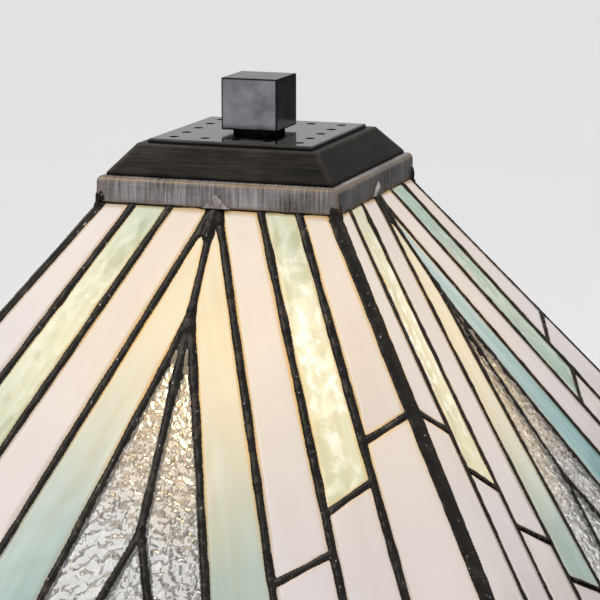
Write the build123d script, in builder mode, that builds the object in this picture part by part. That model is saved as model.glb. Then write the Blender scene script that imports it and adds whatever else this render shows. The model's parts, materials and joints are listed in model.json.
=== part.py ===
"""A table lamp with a square, pyramid-shaped stained glass shade on a stepped metal stand.

Frame: millimetres, +Z up, origin on the table under the middle of the base. The front panel of
the shade faces -Y. The two lamp sockets stand on the diagonal, where the square shade has most
room. Each panel of the shade is drawn flat: "across" is measured from the panel's middle, and
"down" is measured down its slope from the underside of the top ring.
"""

from build123d import *

import os
from math import acos, atan2, cos, hypot, pi, radians, sin, sqrt

# ---------------------------------------------------------------- base, from the table up
pad_thickness = 3.0
pad_radius = 9.0
pad_inset = 16.0  # pad's middle in from the base's sides
base_half = 88.0
base_band_height = 16.0
base_band_wall = 4.0
base_band_round = 3.0
base_shoulder = 8.0  # flat step between the band and the slope
base_slope_height = 20.0
base_crown_step = 7.0  # flat step between the slope and the crown
base_crown_margin = 8.0  # crown past the column's foot
base_crown_height = 6.0
base_wall = 3.0
cover_thickness = 2.0
cover_clearance = 0.3
weight_gap = 10.0  # weight to the inside of the base
weight_height = 15.0
weight_boss_radius = 20.0
nut_pocket_radius = 13.0
nut_pocket_depth = 7.0
cord_channel_width = 9.0
cord_channel_height = 8.0
screw_radius = 2.0
screw_head_radius = 3.8
screw_head_height = 1.6
screw_length = 9.0
screw_inset = 14.0  # screw in from the weight's sides
gland_bore = 3.5
gland_wall = 1.2
gland_flange = 1.4  # how far the gland's flange reaches past its body
gland_flange_thickness = 2.5
gland_tail = 3.0  # gland inside the base
gland_rise = 6.8  # gland's axis above the lower edge of the base

# ---------------------------------------------------------------- column
foot_half = 33.0
foot_height = 8.0
foot_round = 2.0
column_foot_half = 24.0
column_top_half = 17.0
column_height = 290.0
column_wall = 2.5
column_edge = 2.0
recess_depth = 1.0  # shallow panel sunk in each face of the column
recess_margin = 5.5
recess_end = 16.0
capital_overhang = 9.0  # capital past the column's top
capital_height = 8.0
capital_chamfer = 2.0
capital_step_overhang = 2.0  # upper step past the column's top
capital_step_height = 6.0
neck_radius = 9.0
neck_height = 10.0
neck_groove = 1.5

# ---------------------------------------------------------------- lamp tube, hub and arms
rod_radius = 4.85  # M10 x 1 lamp tube, over its thread
rod_bore = 3.4
rod_clearance = 0.1  # a piece that turns or slides on the tube
fixed_clearance = 0.05  # a piece that is screwed or pressed tight
flat_gap = 0.05  # between flat faces that move on each other
nut_across_flats = 14.0
nut_height = 4.0
nut_thread_end = 1.0  # tube past the nut
hub_radius = 16.0
hub_height = 24.0
hub_chamfer = 2.0
rod_grip = 8.0  # tube inside the hub, at each end
arm_radius = 5.0
arm_bore = 3.2
arm_elbow = 12.0
arm_rise = 18.0  # from the arm's axis to the socket's foot
arm_grip = 6.0  # arm inside the hub and inside the socket's foot

# ---------------------------------------------------------------- sockets, switches and bulbs
socket_offset = 42.0  # from the lamp's axis to each socket's axis
socket_height = 56.0
socket_radius = 17.5
socket_wall = 2.0
socket_floor = 2.0
socket_foot_radius = 9.0
socket_foot_height = 8.0
socket_band_z = 34.0  # raised band round the socket, above its foot
socket_band_height = 4.0
socket_band_proud = 2.5
insulator_z = 20.0  # underside of the insulator above the socket's foot
insulator_height = 6.0
insulator_seat = 1.0  # ledge in the socket that carries the insulator
contact_radius = 4.0
contact_height = 1.5
screw_shell_clearance = 0.5  # round the bulb's cap
screw_shell_wall = 0.5
screw_shell_height = 26.0
bulb_cap_radius = 13.1
bulb_cap_height = 25.0
bulb_cap_wall = 1.0
bulb_tip_radius = 5.0
bulb_tip_height = 2.0
bulb_radius = 30.0
bulb_length = 104.0
bulb_wall = 1.0
switch_z = 11.5  # spindle above the socket's foot
spindle_radius = 2.5
cam_radius = 4.5
cam_thickness = 3.0
cam_gap = 1.5  # cam to the inside of the socket
knob_radius = 8.0
knob_length = 14.0
knob_gap = 2.0  # knob to the outside of the socket
knob_depth = 8.0  # spindle inside the knob
knob_ribs = 12
knob_rib_radius = 0.9

# ---------------------------------------------------------------- shade
socket_to_ring = 158.0  # socket's foot to the underside of the top ring
shade_top_half = 49.3  # half width of the glass, outer face, at the top ring
shade_fall = 1.371  # drop for each unit of run outwards
rim_half = 180.0  # half width over the rim at the foot of the shade
rim_height = 6.0
rim_width = 10.0
rim_overhang = 3.5  # rim stands this far outside the glass
glass_thickness = 2.8
lead_proud_outside = 0.5
lead_proud_inside = 0.3
lead_web = 1.2  # half the lead between two pieces of glass
lead_lap = 0.5  # lead's lip over the edge of the glass
corner_web = 0.5  # half the thickness of the came along a corner
corner_cut = 1.4  # how far in, along the diagonal, the sharp corners are filed flat
corner_crown = 0.3  # corner came past the filed flat
least_lead = 0.4  # thinnest lead left beside a panel's own edges

# Pattern of one half of a panel. Each lead line runs from a start across, at the ring, and goes
# this far across for each unit down.
outer_start, outer_run = 34.0, 0.476
inner_start, inner_run = 18.5, 0.4195
wedge_start, wedge_run = 1.0, 0.36
fan_apex_down, fan_run = 45.5, 0.28
fork_down, fork_run = 133.0, 0.35
cut_rise = 14.5  # how far down each stepped cut runs
first_cut_down = 76.0
cut_step = 14.0  # drop from the end of one cut to the start of the next
border_height = 14.0  # row of small pieces along the rim

# ---------------------------------------------------------------- top ring, vent cap, finial
ring_overhang = 0.7  # ring past the glass
ring_height = 10.2
ring_wall = 2.0
ring_lip = 10.0  # width of the flange turned in at the top
ring_lip_thickness = 1.5
ring_round = 2.4
spider_lift = 1.0  # spider above the underside of the ring
spider_thickness = 2.0
spider_width = 12.0
spider_eye_radius = 15.0
seat_radius = 17.0
seat_thickness = 3.0
cap_inset = 3.2  # cap's foot in from the ring
cap_run = 9.5  # how far the cap's sides lean in
cap_skirt = 0.9
cap_slope_height = 10.8
cap_wall = 1.2
plate_inset = 3.2  # vent plate in from the cap's top
plate_thickness = 1.5
vent_inset = 7.9  # middles of the holes in from the plate's sides
vent_count = 5  # holes along each side of the plate
vent_radius = 2.0
vent_edge = 0.8  # ledge's edge past the holes
washer_radius = 10.4
washer_thickness = 1.5
finial_half = 11.75
finial_height = 20.8
finial_edge = 0.3
rod_in_finial = 11.0
finial_bore_spare = 2.0  # bore past the tube's end

# ---------------------------------------------------------------- heights that follow
base_z = pad_thickness
band_top_z = base_z + base_band_height
slope_top_z = band_top_z + base_slope_height
base_top_z = slope_top_z + base_crown_height
slope_foot_half = base_half - base_shoulder
crown_half = foot_half + base_crown_margin
slope_top_half = crown_half + base_crown_step
base_slope_run = slope_foot_half - slope_top_half
weight_z = base_z + cover_thickness
weight_half = (slope_foot_half - base_wall - weight_gap
               - weight_height * base_slope_run / base_slope_height / 2)
screw_spread = weight_half - screw_inset
stem_nut_z = weight_z + nut_pocket_depth - nut_height
stem_foot_z = stem_nut_z - nut_thread_end
column_z = base_top_z + foot_height
capital_z = column_z + column_height
neck_z = capital_z + capital_height + capital_step_height
hub_z = neck_z + neck_height
hub_top_z = hub_z + hub_height
arm_z = hub_z + hub_height / 2
socket_z = arm_z + arm_rise
contact_z = socket_z + insulator_z + insulator_height
bulb_z = contact_z + contact_height
shade_top_z = socket_z + socket_to_ring
spider_z = shade_top_z + spider_lift
seat_z = spider_z - flat_gap - seat_thickness
ring_top_z = shade_top_z + ring_height
cap_top_z = ring_top_z + cap_skirt + cap_slope_height
plate_top_z = cap_top_z + plate_thickness
washer_z = plate_top_z + flat_gap
finial_z = washer_z + washer_thickness + flat_gap
rod_top_z = finial_z + rod_in_finial

# ---------------------------------------------------------------- widths that follow
capital_step_half = column_top_half + capital_step_overhang
screw_shell_radius = bulb_cap_radius + screw_shell_clearance
ring_half = shade_top_half + ring_overhang
cap_foot_half = ring_half - cap_inset
cap_top_half = cap_foot_half - cap_run
plate_half = cap_top_half - plate_inset
vent_square = plate_half - vent_inset  # vent holes' distance from the middle
vent_pitch = 2 * vent_square / (vent_count - 1)

# ---------------------------------------------------------------- slopes and lengths of the shade
lean = atan2(shade_fall, 1.0)
slope = hypot(1.0, shade_fall)  # length down the slope for each unit of run
rim_run = rim_half - rim_overhang - shade_top_half
rim_top_z = shade_top_z - shade_fall * rim_run
panel_length = rim_run * slope
lead_outside = lead_proud_outside / sin(lean)  # measured level
lead_inside = (glass_thickness + lead_proud_inside) / sin(lean)
glass_end = panel_length - (glass_thickness + lead_proud_inside) * cos(lean) / sin(lean) - least_lead
border_down = panel_length - border_height

COLOURS = ("white", "green", "aqua", "clear")
SIDES = ("front", "right", "back", "left")  # in quarter turns about +Z from the front
SOCKETS = {"front": radians(-45.0), "back": radians(135.0)}  # way each arm points


def finish(part, label):
    """Labels a finished piece and writes it as one STEP file."""
    part.label = label
    export_step(part, f"parts/{label}.step")


# ---------------------------------------------------------------- shapes used more than once
def square_block(half, low_z, height, mode=Mode.ADD):
    """A square prism on the lamp's axis, inside the current part."""
    with BuildSketch(Plane.XY.offset(low_z)) as square:
        Rectangle(2 * half, 2 * half)
    extrude(square.sketch, amount=height, mode=mode)


def square_taper(low_half, low_z, top_half, top_z, mode=Mode.ADD):
    """A taper between two squares on the lamp's axis, inside the current part."""
    with BuildSketch(Plane.XY.offset(low_z)) as foot:
        Rectangle(2 * low_half, 2 * low_half)
    with BuildSketch(Plane.XY.offset(top_z)) as top:
        Rectangle(2 * top_half, 2 * top_half)
    loft([foot.sketch, top.sketch], mode=mode)


def bar(radius, low_z, height, mode=Mode.ADD):
    """A cylinder on the lamp's axis, inside the current part."""
    with BuildSketch(Plane.XY.offset(low_z)) as disc:
        Circle(radius)
    extrude(disc.sketch, amount=height, mode=mode)


def upright_edges(part, least_rise):
    """The edges of a part that rise by at least this much from end to end."""
    return [edge for edge in part.edges() if abs((edge @ 1 - edge @ 0).Z) > least_rise]


def upright_plane(angle, distance=0.0):
    """A plane through or beside the lamp's axis: its x points outwards at angle, its y is up."""
    out = Vector(cos(angle), sin(angle), 0)
    return Plane(origin=out * distance, x_dir=out, z_dir=(sin(angle), -cos(angle), 0))


def upright_axis(angle, distance):
    """The upright axis that stands at this distance from the lamp's axis."""
    return Axis((distance * cos(angle), distance * sin(angle), 0), (0, 0, 1))


# ---------------------------------------------------------------- glass pattern
def clipped(outline, lane, keep_outside, margin):
    """The part of a flat outline outside, or within, a lead line (start, run).

    margin moves the line away from what is kept, square to itself.
    """
    start, run = lane
    side = 1.0 if keep_outside else -1.0
    shift = margin * hypot(1.0, run)
    depth = [side * (across - start - run * down) - shift for across, down in outline]
    kept = []
    for i, here in enumerate(outline):
        before = outline[i - 1]
        if (depth[i - 1] > 0) != (depth[i] > 0):
            share = depth[i - 1] / (depth[i - 1] - depth[i])
            kept.append(tuple(b + share * (h - b) for b, h in zip(before, here)))
        if depth[i] > 0:
            kept.append(here)
    return kept


def strip(low, high):
    """A strip of the panel between two distances down, wide enough to be clipped."""
    return [(-2 * rim_half, low), (2 * rim_half, low), (2 * rim_half, high), (-2 * rim_half, high)]


def cut_lane(lane_out, lane_in, down):
    """The stepped cut that starts on the outer line and falls towards the panel's middle."""
    outer = lane_out[0] + lane_out[1] * down
    inner = lane_in[0] + lane_in[1] * (down + cut_rise)
    run = (inner - outer) / cut_rise
    return outer - run * down, run


corner_lane = (shade_top_half, 1 / slope)
outer_lane = (outer_start, outer_run)
inner_lane = (inner_start, inner_run)
wedge_lane = (wedge_start, wedge_run)
fan_lane = (-fan_run * fan_apex_down, fan_run)
fork_lane = (-fork_run * fork_down, fork_run)
middle_lane = (0.0, 0.0)
corner_margin = (corner_web * sqrt(2) + (glass_thickness + lead_proud_inside) * sin(lean)
                 + least_lead) / hypot(1.0, 1 / slope)

# Each strip of glass: its outer line, its inner lines, and its colour above the stepped cut.
STRIPS = (
    (corner_lane, (outer_lane,), "white"),
    (outer_lane, (inner_lane,), "green"),
    (inner_lane, (wedge_lane,), "white"),
    (wedge_lane, (fan_lane, middle_lane), "aqua"),
    (fan_lane, (fork_lane, middle_lane), "clear"),
)


def half_panel(lap):
    """(colour, outline) of every piece in the right half of a panel.

    lap draws each outline in by this much: 0 gives the glass, lead_lap the opening in the lead.
    """
    top, low = least_lead + lap, glass_end - lap
    above, below = border_down - lead_web - lap, border_down + lead_web + lap
    pieces = []
    down = first_cut_down
    for lane_out, lanes_in, colour in STRIPS:
        margin = (corner_margin if lane_out is corner_lane else lead_web) + lap
        upper = clipped(strip(top, above), lane_out, False, margin)
        lower = upper
        border = clipped(strip(below, low), lane_out, False, margin)
        border = clipped(border, lanes_in[0], True, lead_web + lap)
        for lane in lanes_in:
            upper = clipped(upper, lane, True, lead_web + lap)
        if colour == "clear":
            pieces += [("clear", upper), ("green", border)]
            continue
        lower = clipped(lower, lanes_in[0], True, lead_web + lap)
        cut = cut_lane(lane_out, lanes_in[0], down)
        upper = clipped(upper, cut, False, lead_web + lap)
        lower = clipped(lower, cut, True, lead_web + lap)
        pieces += [(colour, upper), ("white", lower), ("green", border)]
        down += cut_rise + cut_step
    return [(colour, outline) for colour, outline in pieces if len(outline) > 2]


def panel_outlines(lap, colours):
    """The outlines of a whole panel's pieces in the given colours, as (across, -down) points."""
    right = half_panel(lap)
    left = [(colour, [(-across, down) for across, down in reversed(outline)])
            for colour, outline in right]
    above, below = border_down - lead_web - lap, border_down + lead_web + lap
    middle = []
    for colour, outline in (("clear", strip(0, above)), ("green", strip(below, glass_end - lap))):
        outline = clipped(outline, fork_lane, False, lead_web + lap)
        outline = clipped(outline, (-fork_lane[0], -fork_lane[1]), True, lead_web + lap)
        middle.append((colour, outline))
    return [[(across, -down) for across, down in outline]
            for colour, outline in right + left + middle if colour in colours and len(outline) > 2]


def panel_plane(turn, height):
    """The plane of a panel, this far outside the glass: x across, y up the slope."""
    facing = radians(90 * turn - 90)
    out = Vector(cos(facing), sin(facing), 0)
    return Plane(origin=out * shade_top_half + Vector(0, 0, shade_top_z),
                 x_dir=(-sin(facing), cos(facing), 0),
                 z_dir=out * sin(lean) + Vector(0, 0, cos(lean))).offset(height)


def panel_sketch(turn, height, lap, colours):
    """The outlines of a panel's pieces in the given colours, this far outside the glass."""
    with BuildSketch(panel_plane(turn, height)) as outlines:
        for outline in panel_outlines(lap, colours):
            Polygon(*outline, align=None)
    return outlines.sketch


# ---------------------------------------------------------------- shade
def make_glass(side, turn, colour):
    """All the pieces of one colour in one panel, each a separate solid."""
    with BuildPart() as glass:
        extrude(panel_sketch(turn, 0, 0, (colour,)), amount=-glass_thickness)
    finish(glass.part, f"{side}_{colour}_glass")


def corner_profile(from_x, to_x):
    """The outline, on a diagonal, between two upright faces that lean with a corner.

    from_x and to_x are distances outwards from where the panels' outer faces meet.
    """
    top, foot = shade_top_half * sqrt(2), (shade_top_half + rim_run) * sqrt(2)
    Polygon((top + from_x, shade_top_z), (top + to_x, shade_top_z),
            (foot + to_x, rim_top_z), (foot + from_x, rim_top_z), align=None)


def make_lead(side, turn):
    """The lead of one panel: a flat web with a lipped opening round each piece of glass."""
    with BuildPart() as lead:
        with BuildSketch(upright_plane(radians(90 * turn - 90))):
            Polygon((shade_top_half - lead_inside, shade_top_z),
                    (shade_top_half + lead_outside, shade_top_z),
                    (shade_top_half + rim_run + lead_outside, rim_top_z),
                    (shade_top_half + rim_run - lead_inside, rim_top_z), align=None)
        extrude(amount=rim_half, both=True)
        facing = radians(90 * turn - 90)
        with BuildSketch(Plane(origin=(0, 0, rim_top_z), x_dir=(cos(facing), sin(facing), 0))):
            tip, reach = corner_web * sqrt(2), rim_half
            Polygon((tip, 0), (reach, tip - reach), (reach, reach - tip), align=None)
        extrude(amount=shade_top_z - rim_top_z, mode=Mode.INTERSECT)
        for corner in (-45, 45):
            with BuildSketch(upright_plane(facing + radians(corner))):
                corner_profile(-corner_cut, glass_thickness)
            extrude(amount=2 * glass_thickness, both=True, mode=Mode.SUBTRACT)
        extrude(panel_sketch(turn, 2 * lead_proud_outside, lead_lap, COLOURS),
                amount=-2 * (lead_proud_outside + glass_thickness), mode=Mode.SUBTRACT)
        extrude(panel_sketch(turn, 0, 0, COLOURS), amount=-glass_thickness, mode=Mode.SUBTRACT)
    finish(lead.part, f"{side}_lead")


def make_corner_cames():
    """The four cames along the shade's corners, each a bar on a diagonal, filed flat."""
    with BuildPart() as cames:
        for quarter in range(4):
            with BuildSketch(upright_plane(radians(90 * quarter + 45))):
                corner_profile(-lead_inside * sqrt(2), corner_crown - corner_cut)
            extrude(amount=corner_web, both=True)
    finish(cames.part, "corner_cames")


def make_rim():
    """The square channel soldered along the foot of the shade."""
    with BuildPart() as rim:
        square_block(rim_half, rim_top_z - rim_height, rim_height)
        chamfer(rim.edges().group_by(Axis.Z)[0], rim_height / 4)
        square_block(rim_half - rim_width, rim_top_z - rim_height, rim_height, Mode.SUBTRACT)
    finish(rim.part, "bottom_rim")


def make_top_ring():
    """The square band that the panels hang from, with a flange turned in at its top."""
    with BuildPart() as ring:
        square_block(ring_half, shade_top_z, ring_height)
        fillet(ring.edges().group_by(Axis.Z)[-1], ring_round)
        square_block(ring_half - ring_wall, shade_top_z, ring_height - ring_lip_thickness, Mode.SUBTRACT)
        square_block(ring_half - ring_lip, shade_top_z, ring_height, Mode.SUBTRACT)
    finish(ring.part, "top_ring")


def make_spider():
    """The cross of two flat arms, inside the top ring, that carries the shade on its seat."""
    with BuildPart() as spider:
        with BuildSketch(Plane.XY.offset(spider_z)):
            Rectangle(2 * (ring_half - ring_wall), spider_width)
            Rectangle(spider_width, 2 * (ring_half - ring_wall))
            Circle(spider_eye_radius)
            Circle(rod_radius + rod_clearance, mode=Mode.SUBTRACT)
        extrude(amount=spider_thickness)
    finish(spider.part, "shade_spider")


def make_vent_cap():
    """The hollow sheet metal taper on top of the ring, with a ledge for the vent plate."""
    slope_z = ring_top_z + cap_skirt
    with BuildPart() as cap:
        square_block(cap_foot_half, ring_top_z, cap_skirt)
        square_taper(cap_foot_half, slope_z, cap_top_half, cap_top_z)
        side_wall = cap_wall * hypot(cap_foot_half - cap_top_half, cap_slope_height) / cap_slope_height
        square_block(cap_foot_half - side_wall, ring_top_z, cap_skirt, Mode.SUBTRACT)
        inner_rise = cap_slope_height - cap_wall
        inner_half = cap_foot_half - side_wall
        inner_top = inner_half - (cap_foot_half - cap_top_half) * inner_rise / cap_slope_height
        square_taper(inner_half, slope_z, inner_top, slope_z + inner_rise, Mode.SUBTRACT)
        square_block(vent_square + vent_radius + vent_edge, ring_top_z,
                     cap_skirt + cap_slope_height, Mode.SUBTRACT)
    finish(cap.part, "vent_cap")


def make_vent_plate():
    """The raised plate with a square of vent holes round the finial."""
    with BuildPart() as plate:
        square_block(plate_half, cap_top_z, plate_thickness)
        fillet(plate.edges().group_by(Axis.Z)[-1], plate_thickness / 2)
        with BuildSketch(Plane.XY.offset(cap_top_z)):
            Circle(rod_radius + rod_clearance)
            for i in range(vent_count):
                step = i * vent_pitch - vent_square
                with Locations((step, vent_square), (step, -vent_square)):
                    Circle(vent_radius)
                if 0 < i < vent_count - 1:
                    with Locations((vent_square, step), (-vent_square, step)):
                        Circle(vent_radius)
        extrude(amount=plate_thickness, mode=Mode.SUBTRACT)
    finish(plate.part, "vent_plate")


def make_finial():
    """The washer under the finial, and the square finial, screwed down on the lamp tube."""
    with BuildPart() as washer:
        bar(washer_radius, washer_z, washer_thickness)
        bar(rod_radius + rod_clearance, washer_z, washer_thickness, Mode.SUBTRACT)
    finish(washer.part, "finial_washer")

    with BuildPart() as finial:
        square_block(finial_half, finial_z, finial_height)
        chamfer(finial.edges(), finial_edge)
        bar(rod_radius + rod_clearance, finial_z, rod_in_finial + finial_bore_spare, Mode.SUBTRACT)
    finish(finial.part, "finial")


# ---------------------------------------------------------------- lamp tube, seat and hub
def make_tubes():
    """The short tube from the hub to the finial, and the long one from the base to the hub."""
    spans = {"riser_tube": (hub_top_z - rod_grip, rod_top_z), "stem_tube": (stem_foot_z, hub_z + rod_grip)}
    for label, (low, high) in spans.items():
        with BuildPart() as tube:
            bar(rod_radius, low, high - low)
            bar(rod_bore, low, high - low, Mode.SUBTRACT)
        finish(tube.part, label)


def make_nut(label, low_z):
    """A thin hexagonal nut on the lamp tube."""
    with BuildPart() as nut:
        with BuildSketch(Plane.XY.offset(low_z)):
            RegularPolygon(nut_across_flats / 2, 6, major_radius=False)
            Circle(rod_radius + fixed_clearance, mode=Mode.SUBTRACT)
        extrude(amount=nut_height)
        chamfer(nut.faces().sort_by(Axis.Z)[0].outer_wire().edges(), nut_height / 10)
    finish(nut.part, label)


def make_seat():
    """The round seat that the spider turns on."""
    with BuildPart() as seat:
        bar(seat_radius, seat_z, seat_thickness)
        chamfer(seat.edges().group_by(Axis.Z)[0], seat_thickness / 2)
        bar(rod_radius + fixed_clearance, seat_z, seat_thickness, Mode.SUBTRACT)
    finish(seat.part, "shade_seat")


def make_hub():
    """The round hub that joins both tubes and both arms, hollow for the wires."""
    with BuildPart() as hub:
        bar(hub_radius, hub_z, hub_height)
        chamfer(hub.edges(), hub_chamfer)
        bar(rod_radius + fixed_clearance, hub_z, rod_grip, Mode.SUBTRACT)
        bar(rod_bore, hub_z, hub_height, Mode.SUBTRACT)
        bar(rod_radius + fixed_clearance, hub_top_z - rod_grip, rod_grip, Mode.SUBTRACT)
        for angle in SOCKETS.values():
            out = Vector(cos(angle), sin(angle), 0)
            with BuildSketch(Plane(origin=out * (hub_radius - arm_grip) + Vector(0, 0, arm_z), z_dir=out)):
                Circle(arm_radius + fixed_clearance)
            extrude(amount=2 * arm_grip, mode=Mode.SUBTRACT)
            with BuildSketch(Plane(origin=Vector(0, 0, arm_z), z_dir=out)):
                Circle(arm_bore)
            extrude(amount=hub_radius, mode=Mode.SUBTRACT)
    finish(hub.part, "socket_hub")


def make_arm(side, angle):
    """The bent tube from the hub out and up to one socket."""
    with BuildPart() as arm:
        with BuildLine(upright_plane(angle)) as route:
            out = Line((hub_radius - arm_grip, arm_z), (socket_offset - arm_elbow, arm_z))
            bend = TangentArc(out @ 1, (socket_offset, arm_z + arm_elbow), tangent=out % 1)
            Line(bend @ 1, (socket_offset, socket_z + arm_grip))
        with BuildSketch(Plane(origin=route.line @ 0, z_dir=route.line % 0)):
            Circle(arm_radius)
            Circle(arm_bore, mode=Mode.SUBTRACT)
        sweep(path=route.line)
    finish(arm.part, f"{side}_arm")


# ---------------------------------------------------------------- sockets, switches and bulbs
def turned_ring(angle, outline):
    """Turns an outline of (radius, height above the socket's foot) points about a socket's axis."""
    with BuildSketch(upright_plane(angle, socket_offset)) as profile:
        Polygon(*[(radius, socket_z + height) for radius, height in outline], align=None)
    revolve(profile.sketch, axis=upright_axis(angle, socket_offset))


def make_socket_shell(side, angle):
    """The socket's outer shell, with its foot boss and a hole for the switch spindle."""
    inner = socket_radius - socket_wall
    ledge = inner - insulator_seat
    band = socket_radius + socket_band_proud
    with BuildPart() as shell:
        turned_ring(angle, (
            (arm_radius + fixed_clearance, 0), (socket_radius, 0), (socket_radius, socket_band_z),
            (band, socket_band_z + socket_band_proud / 2),
            (band, socket_band_z + socket_band_height), (socket_radius, socket_band_z + socket_band_height),
            (socket_radius, socket_height), (inner, socket_height), (inner, insulator_z),
            (ledge, insulator_z), (ledge, socket_floor), (socket_foot_radius, socket_floor),
            (socket_foot_radius, socket_foot_height), (arm_bore, socket_foot_height),
            (arm_bore, arm_grip), (arm_radius + fixed_clearance, arm_grip)))
        with BuildSketch(spindle_plane(angle, ledge - cam_gap)):
            Circle(spindle_radius + fixed_clearance)
        extrude(amount=socket_wall + insulator_seat + 2 * cam_gap, mode=Mode.SUBTRACT)
    finish(shell.part, f"{side}_socket_shell")


def spindle_plane(angle, distance):
    """The plane square to a switch spindle, this far out from its socket's axis."""
    out = Vector(cos(angle), sin(angle), 0)
    return Plane(origin=out * (socket_offset + distance) + Vector(0, 0, socket_z + switch_z), z_dir=out)


def make_switch(side, angle):
    """A switch spindle with its contact cam, and the ribbed knob pressed on it."""
    cam_out = socket_radius - socket_wall - insulator_seat - cam_gap
    knob_in = socket_radius + knob_gap
    with BuildPart() as spindle:
        with BuildSketch(spindle_plane(angle, cam_out - cam_thickness)):
            Circle(cam_radius)
            Rectangle(2 * cam_radius, cam_radius / 3, mode=Mode.SUBTRACT)
        extrude(amount=cam_thickness)
        with BuildSketch(spindle_plane(angle, cam_out - cam_thickness)):
            Circle(spindle_radius)
        extrude(amount=knob_in + knob_depth - cam_out + cam_thickness)
    finish(spindle.part, f"{side}_switch_spindle")

    with BuildPart() as knob:
        with BuildSketch(spindle_plane(angle, knob_in)):
            Circle(knob_radius)
        extrude(amount=knob_length)
        fillet(knob.edges(), knob_radius / 8)
        with BuildSketch(spindle_plane(angle, knob_in)):
            with PolarLocations(knob_radius, knob_ribs):
                Circle(knob_rib_radius)
        extrude(amount=knob_length, mode=Mode.SUBTRACT)
        with BuildSketch(spindle_plane(angle, knob_in)):
            Circle(spindle_radius)
        extrude(amount=knob_depth, mode=Mode.SUBTRACT)
    finish(knob.part, f"{side}_switch_knob")


def make_socket_insides():
    """The insulators, centre contacts and screw shells of both sockets, one node of each."""
    insulator_radius = socket_radius - socket_wall - fixed_clearance
    insulator_top = insulator_z + insulator_height
    with BuildPart() as insulators:
        for angle in SOCKETS.values():
            turned_ring(angle, ((0, insulator_z), (insulator_radius, insulator_z),
                                (insulator_radius, insulator_top), (0, insulator_top)))
    finish(insulators.part, "socket_insulators")

    with BuildPart() as contacts:
        for angle in SOCKETS.values():
            turned_ring(angle, ((0, insulator_top), (contact_radius, insulator_top),
                                (contact_radius, insulator_top + contact_height / 2),
                                (contact_radius / 2, insulator_top + contact_height),
                                (0, insulator_top + contact_height)))
    finish(contacts.part, "socket_contacts")

    outer = screw_shell_radius + screw_shell_wall
    with BuildPart() as shells:
        for angle in SOCKETS.values():
            turned_ring(angle, ((screw_shell_radius, insulator_top), (outer, insulator_top),
                                (outer, insulator_top + screw_shell_height),
                                (screw_shell_radius, insulator_top + screw_shell_height)))
    finish(shells.part, "socket_screw_shells")


def make_bulb(side, angle):
    """A bulb: its metal cap, and its hollow glass, a cone that runs smoothly into a ball."""
    foot = bulb_z - socket_z
    with BuildPart() as cap:
        turned_ring(angle, ((0, foot), (bulb_tip_radius, foot), (bulb_tip_radius, foot + bulb_tip_height),
                            (bulb_cap_radius, foot + 2 * bulb_tip_height),
                            (bulb_cap_radius, foot + bulb_cap_height),
                            (bulb_cap_radius - bulb_cap_wall, foot + bulb_cap_height),
                            (bulb_cap_radius - bulb_cap_wall, foot + 3 * bulb_tip_height),
                            (0, foot + 3 * bulb_tip_height)))
    finish(cap.part, f"{side}_bulb_cap")

    neck_z_above = bulb_z + bulb_cap_height
    ball_z = bulb_z + bulb_length - bulb_radius
    with BuildPart() as glass:
        with BuildSketch(upright_plane(angle, socket_offset)):
            for shell, mode in ((0, Mode.ADD), (bulb_wall, Mode.SUBTRACT)):
                neck, ball = bulb_cap_radius - shell, bulb_radius - shell
                reach = hypot(neck, ball_z - neck_z_above)
                turn = acos(ball / reach) - atan2(ball_z - neck_z_above, neck)
                touch = (ball * cos(turn), ball_z + ball * sin(turn))
                with BuildLine():
                    Line((0, neck_z_above), (neck, neck_z_above))
                    Line((neck, neck_z_above), touch)
                    halfway = turn / 2 + pi / 4
                    ThreePointArc(touch, (ball * cos(halfway), ball_z + ball * sin(halfway)),
                                  (0, ball_z + ball))
                    Line((0, ball_z + ball), (0, neck_z_above))
                make_face(mode=mode)
        revolve(axis=upright_axis(angle, socket_offset))
    finish(glass.part, f"{side}_bulb_glass")


# ---------------------------------------------------------------- column
def tube_hole(low_z, height):
    """Drills the current part for the lamp tube."""
    bar(rod_radius + fixed_clearance, low_z, height, Mode.SUBTRACT)


def make_column():
    """The hollow, tapered square column with a shallow panel sunk in each face."""
    taper = atan2(column_height, column_foot_half - column_top_half)
    with BuildPart() as column:
        square_taper(column_foot_half, column_z, column_top_half, capital_z)
        fillet(upright_edges(column, column_height / 2), column_edge)
        for quarter in range(4):
            facing = radians(90 * quarter)
            out = Vector(cos(facing), sin(facing), 0)
            with BuildSketch(Plane(origin=out * column_foot_half + Vector(0, 0, column_z),
                                   x_dir=(-sin(facing), cos(facing), 0),
                                   z_dir=out * sin(taper) + Vector(0, 0, cos(taper)))):
                low, high = recess_end, column_height / sin(taper) - recess_end
                narrowing = (column_foot_half - column_top_half) / column_height
                low_half = column_foot_half - recess_margin - narrowing * low
                high_half = column_foot_half - recess_margin - narrowing * high
                Polygon((-low_half, low), (low_half, low), (high_half, high), (-high_half, high),
                        align=None)
            extrude(amount=-recess_depth, mode=Mode.SUBTRACT)
        square_taper(column_foot_half - column_wall, column_z,
                     column_top_half - column_wall, capital_z, Mode.SUBTRACT)
    finish(column.part, "column")


def make_column_foot():
    """The square block between the base and the column."""
    with BuildPart() as foot:
        square_block(foot_half, base_top_z, foot_height)
        fillet(foot.edges().group_by(Axis.Z)[-1], foot_round)
        tube_hole(base_top_z, foot_height)
    finish(foot.part, "column_foot")


def make_capital():
    """The two-step square block on top of the column."""
    with BuildPart() as capital:
        square_block(column_top_half + capital_overhang, capital_z, capital_height)
        chamfer(capital.edges().group_by(Axis.Z)[0], capital_chamfer)
        square_block(capital_step_half, capital_z + capital_height, capital_step_height)
        tube_hole(capital_z, capital_height + capital_step_height)
    finish(capital.part, "capital")


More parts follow.
